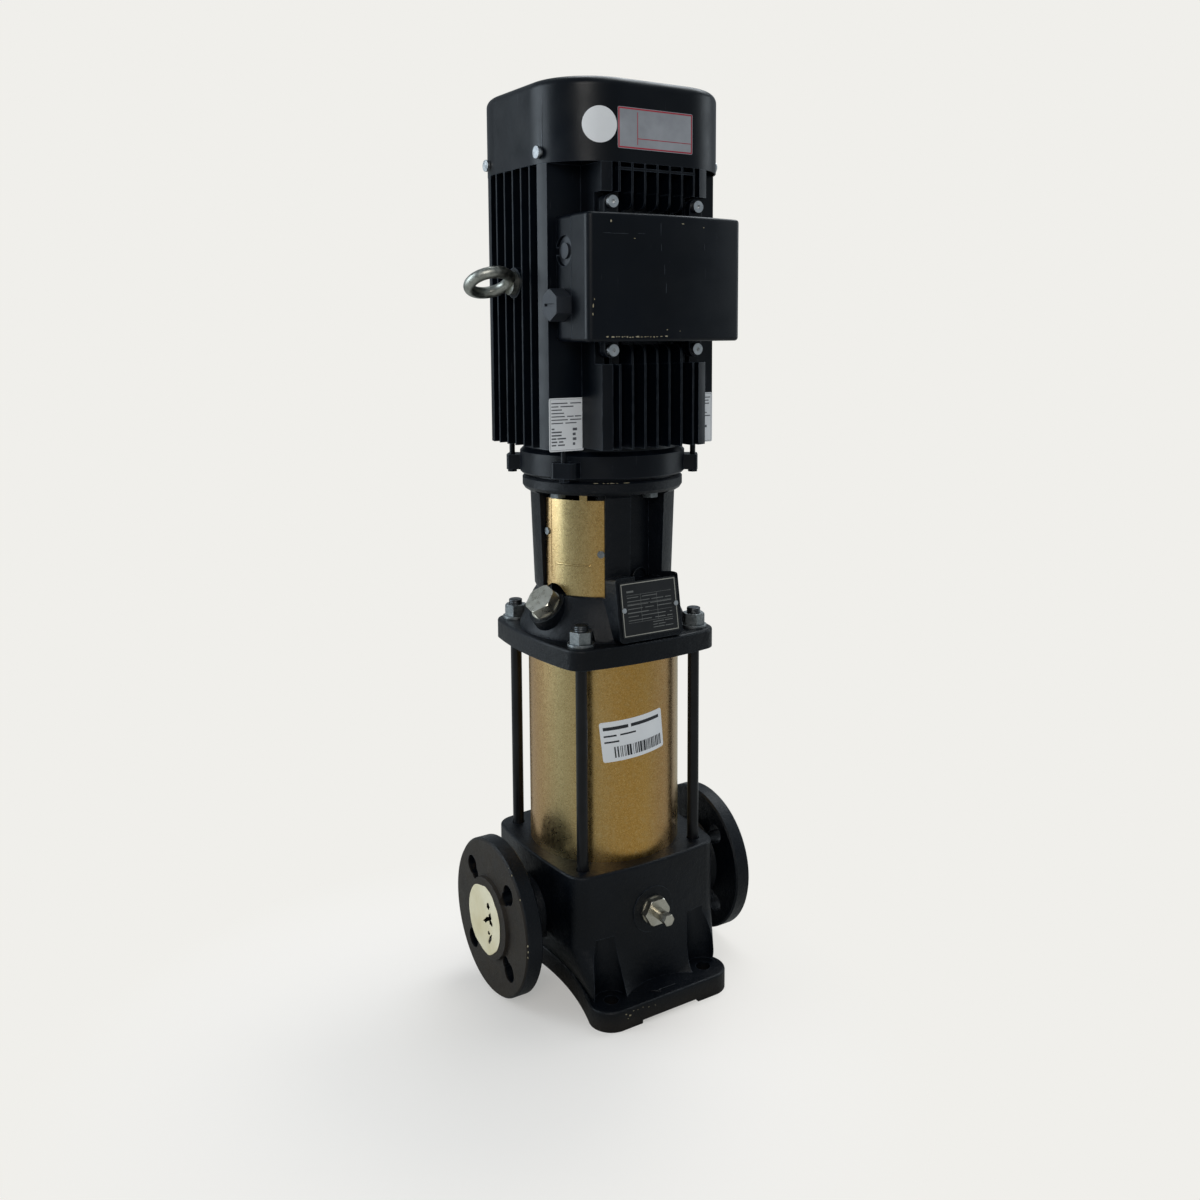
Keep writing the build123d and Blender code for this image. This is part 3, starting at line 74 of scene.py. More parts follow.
# ================================================================ node helpers
class Graph:
    """A material's node tree, with short calls for the nodes used below."""

    def __init__(self, name):
        self.material = bpy.data.materials.new(name)
        self.material.use_nodes = True
        self.tree = self.material.node_tree
        self.shader = self.tree.nodes["Principled BSDF"]
        self.output = self.tree.nodes["Material Output"]
        self.place = self.tree.nodes.new("ShaderNodeNewGeometry").outputs["Position"]

    def node(self, kind, **inputs):
        """New node whose inputs are given by name."""
        n = self.tree.nodes.new(kind)
        for key, value in inputs.items():
            self.feed(n.inputs[key.replace("_", " ")], value)
        return n

    def feed(self, socket, value):
        """Link an output to a socket, or set the socket's own value."""
        if isinstance(value, bpy.types.NodeSocket):
            self.tree.links.new(value, socket)
        else:
            socket.default_value = value

    def noise(self, scale, detail=3.0, roughness=0.5, vector=None):
        n = self.node("ShaderNodeTexNoise", Scale=scale, Detail=detail, Roughness=roughness,
                      Vector=vector or self.place)
        return n.outputs["Fac"]

    def stretched(self, x, y, z):
        """The place, scaled along each axis."""
        n = self.node("ShaderNodeMapping", Vector=self.place)
        n.inputs["Scale"].default_value = (x, y, z)
        return n.outputs["Vector"]

    def ramp(self, factor, low, high, start=0.0, end=1.0):
        """Value that goes from start to end while the factor goes from low to high."""
        n = self.node("ShaderNodeMapRange", Value=factor)
        n.inputs["From Min"].default_value = low
        n.inputs["From Max"].default_value = high
        n.inputs["To Min"].default_value = start
        n.inputs["To Max"].default_value = end
        return n.outputs["Result"]

    def math(self, operation, a, b=0.0):
        n = self.tree.nodes.new("ShaderNodeMath")
        n.operation = operation
        self.feed(n.inputs[0], a)
        self.feed(n.inputs[1], b)
        return n.outputs[0]

    def vector_math(self, operation, a, b=None):
        n = self.tree.nodes.new("ShaderNodeVectorMath")
        n.operation = operation
        self.feed(n.inputs[0], a)
        if b is not None:
            self.feed(n.inputs[1], b)
        return n

    def mix(self, factor, a, b):
        """Colour a where the factor is 0 and b where it is 1."""
        n = self.tree.nodes.new("ShaderNodeMix")
        n.data_type = "RGBA"
        self.feed(n.inputs["Factor"], factor)
        self.feed(n.inputs[6], a)
        self.feed(n.inputs[7], b)
        return n.outputs[2]

    def edges(self, radius, low=0.02, high=0.25):
        """Mask that is 1 on sharp edges and 0 on faces."""
        bevel = self.node("ShaderNodeBevel", Radius=radius)
        bevel.samples = 4
        flat = self.tree.nodes.new("ShaderNodeNewGeometry").outputs["Normal"]
        dot = self.vector_math("DOT_PRODUCT", bevel.outputs["Normal"], flat)
        bend = self.math("SUBTRACT", 1.0, dot.outputs["Value"])
        return self.ramp(bend, low, high)

    def patchy_edges(self, radius, edge_range, patches, patch_range):
        """Mask of the sharp edges where they also lie in patches of a noise."""
        return self.math("MULTIPLY", self.edges(radius, *edge_range), self.ramp(patches, *patch_range))

    def bump(self, height, strength, distance, normal=None):
        n = self.node("ShaderNodeBump", Height=height, Strength=strength, Distance=distance)
        if normal is not None:
            self.feed(n.inputs["Normal"], normal)
        return n.outputs["Normal"]

    def surface(self, **inputs):
        """Set the inputs of the material's main shader and give back the material."""
        for key, value in inputs.items():
            self.feed(self.shader.inputs[key.replace("_", " ")], value)
        return self.material


def rgb(r, g, b):
    """Linear colour from 0-255 display values."""

    def linear(c):
        c /= 255
        return c / 12.92 if c <= 0.04045 else ((c + 0.055) / 1.055) ** 2.4

    return (linear(r), linear(g), linear(b), 1.0)


# ================================================================ materials
# Where the dust on the castings starts and where it is full: towards the suction side, and down the foot
flange_dust_x = (-0.1195, -0.1215)
foot_dust_z = (0.0175, 0.006)


def cast_paint():
    """Black enamel over a cast skin, with chipped edges and brown dust on the suction flange and foot."""
    g = Graph("cast_black_enamel")
    grain = g.noise(650.0, 4.0, 0.65)
    wave = g.noise(130.0, 3.0, 0.5)
    colour = g.mix(g.ramp(g.noise(14.0, 2.0), 0.35, 0.7), rgb(3, 6, 11), rgb(8, 13, 20))
    split = g.node("ShaderNodeSeparateXYZ", Vector=g.place)
    on_flange = g.ramp(split.outputs["X"], *flange_dust_x)
    on_foot = g.ramp(split.outputs["Z"], *foot_dust_z)
    settled = g.math("MAXIMUM", on_flange, g.math("MULTIPLY", on_foot, 0.5))
    dusty = g.math("MULTIPLY", settled, g.ramp(g.noise(70.0, 4.0, 0.6), 0.2, 0.7, 0.55, 1.0))
    colour = g.mix(dusty, colour, rgb(47, 40, 32))
    # Painted highlight: bluish grey on sharp edges in noise patches, which also stand for rubbed wear
    wear_and_edge_highlight = g.patchy_edges(0.0011, (0.04, 0.4), g.noise(190.0, 4.0), (0.35, 0.6))
    colour = g.mix(g.math("MULTIPLY", wear_and_edge_highlight, 0.55), colour, rgb(86, 94, 104))
    chips = g.patchy_edges(0.002, (0.05, 0.3), g.noise(260.0, 5.0, 0.7), (0.7, 0.72))
    colour = g.mix(chips, colour, rgb(160, 152, 134))
    skin_normal = g.bump(grain, 0.8, 0.0005)
    skin_normal = g.bump(wave, 0.5, 0.001, skin_normal)
    rough = g.ramp(g.noise(60.0, 3.0), 0.3, 0.7, 0.3, 0.42)
    rough = g.math("ADD", rough, g.math("MULTIPLY", dusty, 0.25))
    return g.surface(Base_Color=colour, Roughness=rough, Normal=skin_normal, Specular_IOR_Level=0.24)


def motor_paint(name, chipped):
    """Smooth black paint with a painted bluish-grey highlight on sharp edges, in patches that also stand
    for rubbed wear; it is chipped more where chipped is lower.
    """
    g = Graph(name)
    colour = g.mix(g.ramp(g.noise(11.0, 2.0), 0.3, 0.7), rgb(1, 4, 10), rgb(5, 11, 20))
    # Painted highlight: bluish grey on sharp edges in noise patches, which also stand for rubbed wear
    wear_and_edge_highlight = g.patchy_edges(0.0009, (0.03, 0.3), g.noise(120.0, 3.0), (0.25, 0.55))
    colour = g.mix(g.math("MULTIPLY", wear_and_edge_highlight, 0.6), colour, rgb(100, 110, 122))
    chips = g.patchy_edges(0.002, (0.05, 0.3), g.noise(210.0, 5.0, 0.7), (chipped, chipped + 0.02))
    colour = g.mix(chips, colour, rgb(184, 176, 158))
    # Hair-line scratches, mostly upright
    scratch = g.noise(1.0, 5.0, 0.6, g.stretched(900, 900, 26))
    colour = g.mix(g.ramp(scratch, 0.69, 0.73, 0.0, 0.35), colour, rgb(96, 100, 106))
    normal = g.bump(g.noise(700.0, 3.0, 0.6), 0.22, 0.0002)
    rough = g.ramp(g.noise(45.0, 3.0), 0.3, 0.7, 0.3, 0.42)
    return g.surface(Base_Color=colour, Roughness=rough, Normal=normal, Specular_IOR_Level=0.24)


def rod_paint():
    """Dark paint of the stay bolts."""
    g = Graph("stay_bolt_paint")
    colour = g.mix(g.ramp(g.noise(60.0, 2.0), 0.3, 0.7), rgb(10, 10, 12), rgb(20, 21, 24))
    normal = g.bump(g.noise(500.0, 2.0), 0.15, 0.0002)
    return g.surface(Base_Color=colour, Roughness=0.3, Normal=normal, Specular_IOR_Level=0.3)


def metal(name, light, dark, roughness, spots=500.0, grain=(1, 1, 1), strength=0.2):
    """Bare or plated metal with mottled brightness and a fine grain."""
    g = Graph(name)
    mottled = g.noise(spots, 4.0, 0.7)
    broad = g.noise(spots * 0.12, 3.0)
    blend = g.math("ADD", g.math("MULTIPLY", mottled, 0.6), g.math("MULTIPLY", broad, 0.4))
    colour = g.mix(g.ramp(blend, 0.35, 0.65), dark, light)
    rough = g.ramp(mottled, 0.3, 0.7, roughness * 0.8, roughness * 1.25)
    normal = g.bump(g.noise(spots * 1.5, 3.0, 0.6, g.stretched(*grain)), strength, 0.00015)
    return g.surface(Base_Color=colour, Metallic=1.0, Roughness=rough, Normal=normal)


def golden_sheet():
    """Rolled stainless sheet: fine sparkle, and painted reflections as upright bands of grey, gold and a
    hint of pink, fixed by the angle around the axis.
    """
    g = Graph("rolled_stainless")
    split = g.node("ShaderNodeSeparateXYZ", Vector=g.place)
    angle = g.math("ARCTAN2", split.outputs["Y"], split.outputs["X"])
    reflection_band = g.math("SINE", g.math("MULTIPLY", g.math("ADD", angle, 0.2), 3.0))
    sparkle = g.noise(820.0, 3.0, 0.75)
    blotch = g.noise(220.0, 3.0, 0.7)
    # Painted reflection: grey-gold and gold bands, and a pink tinge, set by the angle around the axis
    colour = g.mix(g.ramp(reflection_band, -1.0, 1.0), rgb(204, 184, 134), rgb(208, 160, 84))
    pink_reflection = g.ramp(g.math("COSINE", g.math("MULTIPLY", g.math("ADD", angle, 1.1), 3.0)), 0.2, 1.0)
    colour = g.mix(g.math("MULTIPLY", pink_reflection, 0.45), colour, rgb(186, 128, 86))
    colour = g.mix(g.ramp(sparkle, 0.45, 0.72, 0.0, 0.5), colour, rgb(132, 100, 48))
    colour = g.mix(g.ramp(sparkle, 0.46, 0.28, 0.0, 0.4), colour, rgb(244, 224, 170))
    colour = g.mix(g.ramp(blotch, 0.5, 0.75, 0.0, 0.25), colour, rgb(220, 198, 148))
    normal = g.bump(sparkle, 0.3, 0.0001)
    normal = g.bump(blotch, 0.1, 0.00015, normal)
    rough = g.ramp(blotch, 0.3, 0.7, 0.24, 0.34)
    return g.surface(Base_Color=colour, Metallic=1.0, Roughness=rough, Normal=normal)


def plain(name, light, dark, roughness, scale=200.0, strength=0.2, distance=0.0002, metallic=0.0):
    """Moulded, printed or sprayed surface with slight tone changes and a fine texture."""
    g = Graph(name)
    colour = g.mix(g.ramp(g.noise(scale * 0.1, 3.0), 0.3, 0.7), dark, light)
    normal = g.bump(g.noise(scale, 3.0, 0.6), strength, distance)
    rough = g.ramp(g.noise(scale * 0.3, 3.0), 0.3, 0.7, roughness * 0.85, roughness * 1.15)
    return g.surface(Base_Color=colour, Roughness=rough, Normal=normal, Metallic=metallic)


cast_black = cast_paint()
motor_black = motor_paint("motor_black_paint", 0.72)
box_black = motor_paint("terminal_box_paint", 0.66)
rod_black = rod_paint()
sheet_gold = golden_sheet()
zinc = metal("zinc_plate", rgb(158, 162, 162), rgb(104, 108, 110), 0.42)
galvanised = metal("galvanised_steel", rgb(190, 190, 182), rgb(120, 120, 112), 0.38, 260.0, strength=0.35)
nickel = metal("nickel_plate", rgb(206, 202, 190), rgb(176, 170, 154), 0.3, 150.0, strength=0.03)
bright_zinc = metal("bright_zinc", rgb(226, 228, 228), rgb(196, 198, 200), 0.32, 300.0, strength=0.04)
machined = metal("machined_steel", rgb(176, 176, 176), rgb(130, 130, 132), 0.28, 300.0, (1, 1, 40))
stack_steel = metal("lamination_steel", rgb(96, 96, 100), rgb(60, 60, 64), 0.45, 300.0, (1, 1, 60), 0.6)
copper = metal("varnished_copper", rgb(190, 100, 50), rgb(120, 54, 24), 0.35, 300.0)
plug_plastic = plain("moulded_black", rgb(44, 48, 55), rgb(30, 33, 38), 0.42, 500.0)
fan_plastic = plain("fan_plastic", rgb(30, 31, 33), rgb(20, 21, 22), 0.55, 400.0)
rubber = plain("rubber", rgb(26, 26, 26), rgb(16, 16, 16), 0.7, 300.0)
carbide = plain("carbide", rgb(64, 64, 68), rgb(44, 44, 48), 0.22, 300.0)
white_label = plain("white_label", rgb(246, 247, 249), rgb(238, 240, 243), 0.45, 300.0, 0.1)
silver_label = plain("silver_label", rgb(168, 170, 176), rgb(146, 148, 154), 0.4, 500.0, 0.2)
red_print = plain("red_print", rgb(186, 44, 62), rgb(160, 34, 52), 0.45)
grey_print = plain("grey_print", rgb(104, 106, 112), rgb(84, 86, 92), 0.5)
dark_print = plain("dark_print", rgb(44, 46, 52), rgb(30, 32, 38), 0.5)
plate_black = plain("plate_black", rgb(24, 25, 27), rgb(15, 16, 18), 0.42, 300.0)
plate_silver = plain("plate_silver", rgb(206, 202, 190), rgb(176, 172, 162), 0.4, 300.0, metallic=0.6)
plate_rule = plain("plate_rule", rgb(126, 127, 124), rgb(92, 93, 92), 0.5)
thread_steel = metal("thread_steel", rgb(96, 98, 100), rgb(52, 54, 56), 0.4)
film = plain("torn_film", rgb(236, 226, 196), rgb(214, 200, 160), 0.5, 260.0, 0.5, 0.0004)
rubbed_line = plain("rubbed_line", rgb(96, 102, 112), rgb(60, 66, 74), 0.5, 500.0)
bare_chip = plain("bare_metal_chip", rgb(206, 196, 168), rgb(150, 136, 104), 0.45, 600.0, metallic=0.3)

stages = [name for name in nodes if name.startswith(("chamber_", "impeller_"))]
finishes = {
    cast_black: ["pump_base", "pump_head"],
    motor_black: ["drive_end_shield", "stator_housing", "rear_end_shield", "fan_cowl", "tie_bolts"],
    box_black: ["terminal_box_base", "terminal_box_cover"],
    plug_plastic: ["cable_entry_plugs"],
    rod_black: ["staybolts"],
    zinc: ["staybolt_nuts", "staybolt_washers", "motor_flange_bolts", "guard_screws", "coupling_screws"],
    bright_zinc: ["cowl_screws", "terminal_box_screws", "nameplate_rivets"],
    galvanised: ["eyebolt"],
    nickel: ["drain_plug", "bypass_spindle", "bypass_cone", "priming_plug"],
    sheet_gold: ["outer_sleeve", "coupling_guard_left", "coupling_guard_right"],
    machined: ["motor_shaft", "coupling_pin", "bearing_inner_rings", "bearing_outer_rings",
               "coupling_half_left", "coupling_half_right", "inlet_chamber", "top_chamber", "pump_shaft",
               "seal_gland", *stages],
    stack_steel: ["stator_core", "rotor_core"],
    copper: ["stator_windings"],
    fan_plastic: ["fan", "terminal_board"],
    rubber: ["sleeve_o_rings"],
    carbide: ["seal_rotating_ring", "seal_seat_ring"],
    plate_black: ["nameplate"],
}
for material, names in finishes.items():
    for name in names:
        nodes[name].data.materials.clear()
        nodes[name].data.materials.append(material)


def round_edges(node, width):
    """Round off the sharp edges of a CAD piece for the picture."""
    weld = node.modifiers.new("weld", "WELD")
    weld.merge_threshold = 1e-6
    bevel = node.modifiers.new("edges", "BEVEL")
    bevel.width = width
    bevel.segments = 2
    bevel.limit_method = "ANGLE"
    bevel.angle_limit = math.radians(32)
    bevel.use_clamp_overlap = True
    even = node.modifiers.new("even", "WEIGHTED_NORMAL")
    even.mode = "FACE_AREA"
    even.weight = 100
    even.keep_sharp = True


# Edges that casting, pressing or painting leaves slightly round, in millimetres
rounded = {"pump_base": 1.0, "pump_head": 1.0, "drive_end_shield": 0.8, "terminal_box_base": 0.6,
           "terminal_box_cover": 0.5, "stator_housing": 0.35, "cable_entry_plugs": 0.5,
           "staybolt_nuts": 0.4, "priming_plug": 0.5, "drain_plug": 0.4, "bypass_spindle": 0.35,
           "staybolt_washers": 0.3, "cowl_screws": 0.4, "terminal_box_screws": 0.5, "guard_screws": 0.3,
           "nameplate": 0.15, "nameplate_rivets": 0.4, "coupling_guard_left": 0.12,
           "coupling_guard_right": 0.12, "eyebolt": 0.4, "fan_cowl": 0.4, "tie_bolts": 0.3}
for name, width in rounded.items():
    round_edges(nodes[name], width * MM)


# ================================================================ surfaces that labels and marks lie on
# Each takes two coordinates and a lift off the surface, in metres, and gives a point in the frame.
def cowl_side(u, v, lift):
    """Side of the cowl; u runs to the right along the outline from the middle of the front."""
    straight = motor_half - motor_corner_r
    side = math.copysign(1, u)
    over = abs(u) - straight
    if over <= 0:
        return Vector((u, -motor_half - lift, v))
    bend = over / motor_corner_r
    reach = motor_corner_r + lift
    x = side * (straight + reach * math.sin(bend))
    return Vector((x, -straight - reach * math.cos(bend), v))


def sleeve_side(u, v, lift):
    """Front of the sleeve; u runs to the right along the round."""
    angle = math.radians(-90) + u / sleeve_r
    return Vector(((sleeve_r + lift) * math.cos(angle), (sleeve_r + lift) * math.sin(angle), v))


def corner_flat_face(u, v, lift):
    """Flats in the front corners of the motor housing."""
    return Vector((u, flat_y - lift, v))


def nameplate_face(u, v, lift):
    """Front of the leaning nameplate, from its middle."""
    up = Vector((0, math.sin(plate_lean), math.cos(plate_lean)))
    out = Vector((0, -math.cos(plate_lean), math.sin(plate_lean)))
    middle = (plate_low + plate_high) / 2
    return middle + Vector((u, 0, 0)) + up * v + out * (lift + plate_thickness / 2)


def cover_front(u, v, lift):
    """Front of the terminal box's cover, an arc through its two edges and its bulged middle."""
    half = cover_high.x
    bend = (half ** 2 + cover_bulge ** 2) / (2 * cover_bulge)
    return Vector((u, cover_low.y + bend - math.sqrt(bend ** 2 - u ** 2) - lift, v))


def foot_top(u, v, lift):
    """Top of the foot; u and v are the places along X and Y."""
    return Vector((u, v, foot_height + lift))


def foot_front(u, v, lift):
    """Upright front of the foot."""
    return Vector((u, base_low.y - lift, v))


# Where chips lie on the rounded rim of the suction flange: from its axis, and from its raised face
flange_chip_r = 69.2 * MM
flange_chip_x = 4.6 * MM
# Where chips lie on the lower edge of the ring on top of the stool
ring_chip_r = 72.1 * MM
ring_chip_z = 469 * MM


def flange_rim_at(angle):
    """Rim of the suction flange around one place; u runs along the port and v around the rim."""

    def rim(u, v, lift):
        around = angle + v / flange_r
        r = flange_chip_r + lift
        return Vector((base_low.x + flange_chip_x + u, r * math.cos(around), port_z + r * math.sin(around)))

    return rim


def stool_ring_at(angle):
    """Lower edge of the stool's ring around one place; it slopes, so a lift moves out and up."""

    def edge(u, v, lift):
        out_and_up = 0.7 * lift
        r = ring_chip_r + out_and_up
        around = angle + u / r
        return Vector((r * math.cos(around), r * math.sin(around), ring_chip_z + v + out_and_up))

    return edge


# ================================================================ meshes
def scaled(*values):
    """Millimetres to metres."""
    return tuple(value * MM for value in values)


def polar(r, degrees, z):
    """Point around the pump's axis from a radius, an angle and a height in millimetres."""
    angle = math.radians(degrees)
    return Vector((r * MM * math.cos(angle), r * MM * math.sin(angle), z * MM))


def finish_mesh(bm, name):
    """Mesh with joined points and outward faces from a bmesh, which is used up."""
    bmesh.ops.remove_doubles(bm, verts=bm.verts, dist=1e-7)
    bmesh.ops.recalc_face_normals(bm, faces=bm.faces)
    mesh = bpy.data.meshes.new(name)
    bm.to_mesh(mesh)
    bm.free()
    return mesh


def link(name, bm, material, smooth=False):
    """Put the finished mesh in the scene as a new piece on the fixed body."""
    mesh = finish_mesh(bm, name)
    piece = bpy.data.objects.new(name, mesh)
    bpy.context.scene.collection.objects.link(piece)
    mesh.materials.append(material)
    for face in mesh.polygons:
        face.use_smooth = smooth
    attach(piece, "root")
    return piece


def turned(centre, u, v, tilt):
    """Where point u, v of a label lies when the label is turned by tilt degrees about its centre."""
    turn = math.radians(tilt)
    return (centre[0] + u * math.cos(turn) - v * math.sin(turn),
            centre[1] + u * math.sin(turn) + v * math.cos(turn))


def add_sheet(bm, surface, centre, size, corner, tilt, lift, thickness, columns=24, rows=6):
    """Thin closed sheet with round corners, lying on a surface."""
    half_w, half_h = size[0] / 2, size[1] / 2
    stations = [half_w * (1 - 2 * i / columns) for i in range(columns + 1)]
    if corner > 0:
        stations = [half_w * math.sin(math.pi / 2 * (1 - 2 * i / columns)) for i in range(columns + 1)]
    layers = []
    for level in (lift, lift - thickness):
        grid = []
        for u in stations:
            over = max(0.0, abs(u) - (half_w - corner))
            reach = half_h - corner + math.sqrt(max(0.0, corner ** 2 - over ** 2))
            heights = [reach * (2 * k / rows - 1) for k in range(rows + 1)]
            grid.append([bm.verts.new(surface(*turned(centre, u, v, tilt), level)) for v in heights])
        layers.append(grid)
    top, bottom = layers
    for i in range(columns):
        for k in range(rows):
            bm.faces.new((top[i][k], top[i][k + 1], top[i + 1][k + 1], top[i + 1][k]))
            bm.faces.new((bottom[i][k], bottom[i + 1][k], bottom[i + 1][k + 1], bottom[i][k + 1]))
    rim = [(i, 0) for i in range(columns)] + [(columns, k) for k in range(rows)]
    rim += [(columns - i, rows) for i in range(columns)] + [(0, rows - k) for k in range(rows)]
    for (a, b), (c, d) in zip(rim, rim[1:] + rim[:1]):
        bm.faces.new((top[a][b], top[c][d], bottom[c][d], bottom[a][b]))


def add_prism(bm, outline, surface, lift, depth):
    """Closed block with a polygon outline in millimetres, standing on a surface."""
    top = [bm.verts.new(surface(u * MM, v * MM, lift)) for u, v in outline]
    bottom = [bm.verts.new(surface(u * MM, v * MM, lift - depth)) for u, v in outline]
    add_tube(bm, (bottom, top))


def add_tube(bm, rings):
    """Faces between rings of points, and both ends closed."""
    for near, far in zip(rings, rings[1:]):
        for i in range(len(near)):
            n = (i + 1) % len(near)
            bm.faces.new((near[i], near[n], far[n], far[i]))
    bm.faces.new(rings[0][::-1])
    bm.faces.new(rings[-1])


def add_box(bm, corners):
    """Closed box; its corners run through the low and high limits of three directions in turn."""
    verts = [bm.verts.new(corner) for corner in corners]
    for face in ((0, 1, 3, 2), (4, 6, 7, 5), (0, 4, 5, 1), (2, 3, 7, 6), (0, 2, 6, 4), (1, 5, 7, 3)):
        bm.faces.new([verts[i] for i in face])


# ================================================================ labels and their printing
def make_label(name, surface, centre, size, corner, material, tilt=0.0, columns=24):
    """Bare label with round corners."""
    bm = bmesh.new()
    add_sheet(bm, surface, centre, size, corner, tilt, label_lift, label_thickness, columns)
    link(name, bm, material)


def make_printing(name, surface, centre, marks, material, tilt=0.0, lift=print_lift):
    """Plain bars and rules; each mark is (left, right, low, high) from the label's middle."""
    bm = bmesh.new()
    for left, right, low, high in marks:
        middle = turned(centre, (left + right) / 2, (low + high) / 2, tilt)
        size = (right - left, high - low)
        columns = max(1, int(size[0] / (4 * MM)))
        add_sheet(bm, surface, middle, size, 0.0, tilt, lift, print_thickness, columns, 1)
    link(name, bm, material)


def border(width, height, line):
    """The four sides of a printed border."""
    w, h = width / 2, height / 2
    return [(-w, w, h - line, h), (-w, w, -h, -h + line), (-w, -w + line, -h + line, h - line),
            (w - line, w, -h + line, h - line)]


def rule_rows(seed, left, right, low, high, rows, thickness, breaks=3):
    """Rows of short plain rules of uneven length, as generic print."""
    draw = random.Random(seed)
    marks = []
    for row in range(rows):
        v = high - (row + 0.5) * (high - low) / rows
        start = left
        for _ in range(draw.randint(1, breaks)):
            end = min(right, start + (right - left) * draw.uniform(0.15, 0.6))
            if end - start > thickness:
                marks.append((start, end, v - thickness / 2, v + thickness / 2))
            start = end + (right - left) * draw.uniform(0.04, 0.1)
            if start > right - 2 * thickness:
                break
    return marks


def bar_row(seed, left, right, low, high):
    """Upright bars of uneven width that stand for a bar code and say nothing."""
    draw = random.Random(seed)
    marks = []
    start = left
    while start < right:
        width = draw.choice((0.5, 0.8, 1.3, 1.9)) * MM
        marks.append((start, start + width, low, high))
        start += width + draw.choice((0.6, 0.9, 1.4)) * MM
    return marks


def make_cowl_stickers():
    """A bare round sticker and a blank silver one with a red border."""
    z = cowl_low.z + 28 * MM
    across = 29 * MM
    middle = (-54.3 * MM, z + 1 * MM)
    make_label("round_sticker", cowl_side, middle, (across, across), across / 2, white_label, columns=32)
    middle = (-1.8 * MM, z - 0.5 * MM)
    width, height = scaled(74.6, 33)
    make_label("cowl_panel", cowl_side, middle, (width, height), 1.2 * MM, silver_label)
    marks = border(width - 1 * MM, height - 1 * MM, 1.1 * MM)
    marks += [scaled(-18.5, -17.9, -13, 13), scaled(-17.9, 35.4, -8.2, -7.6)]
    make_printing("cowl_panel_border", cowl_side, middle, marks, red_print)


def make_sleeve_label():
    """White label that sits a little askew on the sleeve."""
    middle = scaled(-10.5, 241.4)
    tilt = 6.4
    make_label("sleeve_label", sleeve_side, middle, scaled(62, 36.5), 2.2 * MM, white_label, tilt)
    marks = rule_rows(3, *scaled(-28, 27, 9.5, 14.5), 1, 3.0 * MM, 4)
    marks += rule_rows(4, *scaled(-28, 12, -3, 8), 2, 1.5 * MM, 4)
    marks += bar_row(5, *scaled(-20, 27, -15, -5))
    make_printing("sleeve_label_bars", sleeve_side, middle, marks, dark_print, tilt)


def make_motor_labels():
    """Labels on the flats in both front corners of the motor."""
    width, height = scaled(33.5, 45)
    for side, name, seed in ((-1, "left", 11), (1, "right", 12)):
        middle = (side * 68.6 * MM, 520.5 * MM)
        make_label(f"motor_label_{name}", corner_flat_face, middle, (width, height), 1.5 * MM, white_label)
        marks = rule_rows(seed, *scaled(-14.5, 14.5, 0, 19.5), 7, 0.9 * MM, 4)
        marks += rule_rows(seed + 4, *scaled(-14.5, 3, -18.5, -2), 6, 1.2 * MM, 2)
        marks += rule_rows(seed + 8, *scaled(6, 14.5, -18.5, -2), 4, 2.2 * MM, 1)
        marks += border(width - 2 * MM, height - 2 * MM, 0.25 * MM)
        make_printing(f"motor_label_{name}_rules", corner_flat_face, middle, marks, grey_print)


def make_nameplate_print():
    """Silver border and faint rules on the black plate, which names nothing."""
    edge = border(*scaled(56.8, 45.4, 0.7))
    make_printing("nameplate_border", nameplate_face, (0, 0), edge, plate_silver, lift=0.1 * MM)
    marks = rule_rows(21, *scaled(-23, -2, 13, 18), 1, 1.6 * MM, 1)
    marks += rule_rows(22, *scaled(-23, 23, -11, 12), 7, 0.6 * MM, 4)
    marks += rule_rows(23, *scaled(2, 23, -19, -12), 3, 0.5 * MM, 2)
    half_line = 0.12
    for v in (12.4, 4.6, -3.2, -11.4):
        marks.append(scaled(-23.5, 23.5, v - half_line, v + half_line))
    for u in (-9, 8):
        marks.append(scaled(u - half_line, u + half_line, -11.4, 12.4))
    make_printing("nameplate_rules", nameplate_face, (0, 0), marks, plate_rule, lift=0.08 * MM)


# ================================================================ torn film over the suction port
film_gap = 0.35 * MM
film_sag = 0.9 * MM
film_crease = 0.12 * MM
film_thickness = 0.18 * MM
# Middle across and up, half sizes and turn of each tear, in millimetres and degrees
film_tears = [(-3.0, 87.5, 2.6, 3.6, 25), (0.5, 73.5, 7.6, 1.9, -34), (-5.5, 77.5, 2.6, 4.2, 10),
              (-7.5, 73.0, 3.4, 2.2, 5), (-6.5, 57.5, 1.9, 5.6, 28), (-3.6, 62.5, 2.4, 1.6, 0)]


def in_tear(y, z):
    """Whether a place on the film is torn away; tears are ovals with wavy outlines."""
    for middle_y, middle_z, half_y, half_z, turn in film_tears:
        a = math.radians(turn)
        dy, dz = y / MM - middle_y, z / MM - middle_z
        u = (dy * math.cos(a) + dz * math.sin(a)) / half_y
        v = (-dy * math.sin(a) + dz * math.cos(a)) / half_z
        if u * u + v * v < 1 + 0.25 * math.sin(5 * math.atan2(v, u)):
            return True
    return False


def film_depth(y, z):
    """How far the film lies from the raised face: it sags into the bore and has shallow creases."""
    from_axis = math.hypot(y, z - port_z)
    sag = film_sag * max(0.0, 1 - (from_axis / port_bore_r) ** 2)
    crease = film_crease * math.sin(y / MM * 0.55 + 1.4 * math.sin(z / MM * 0.21))
    return sag + crease - film_gap


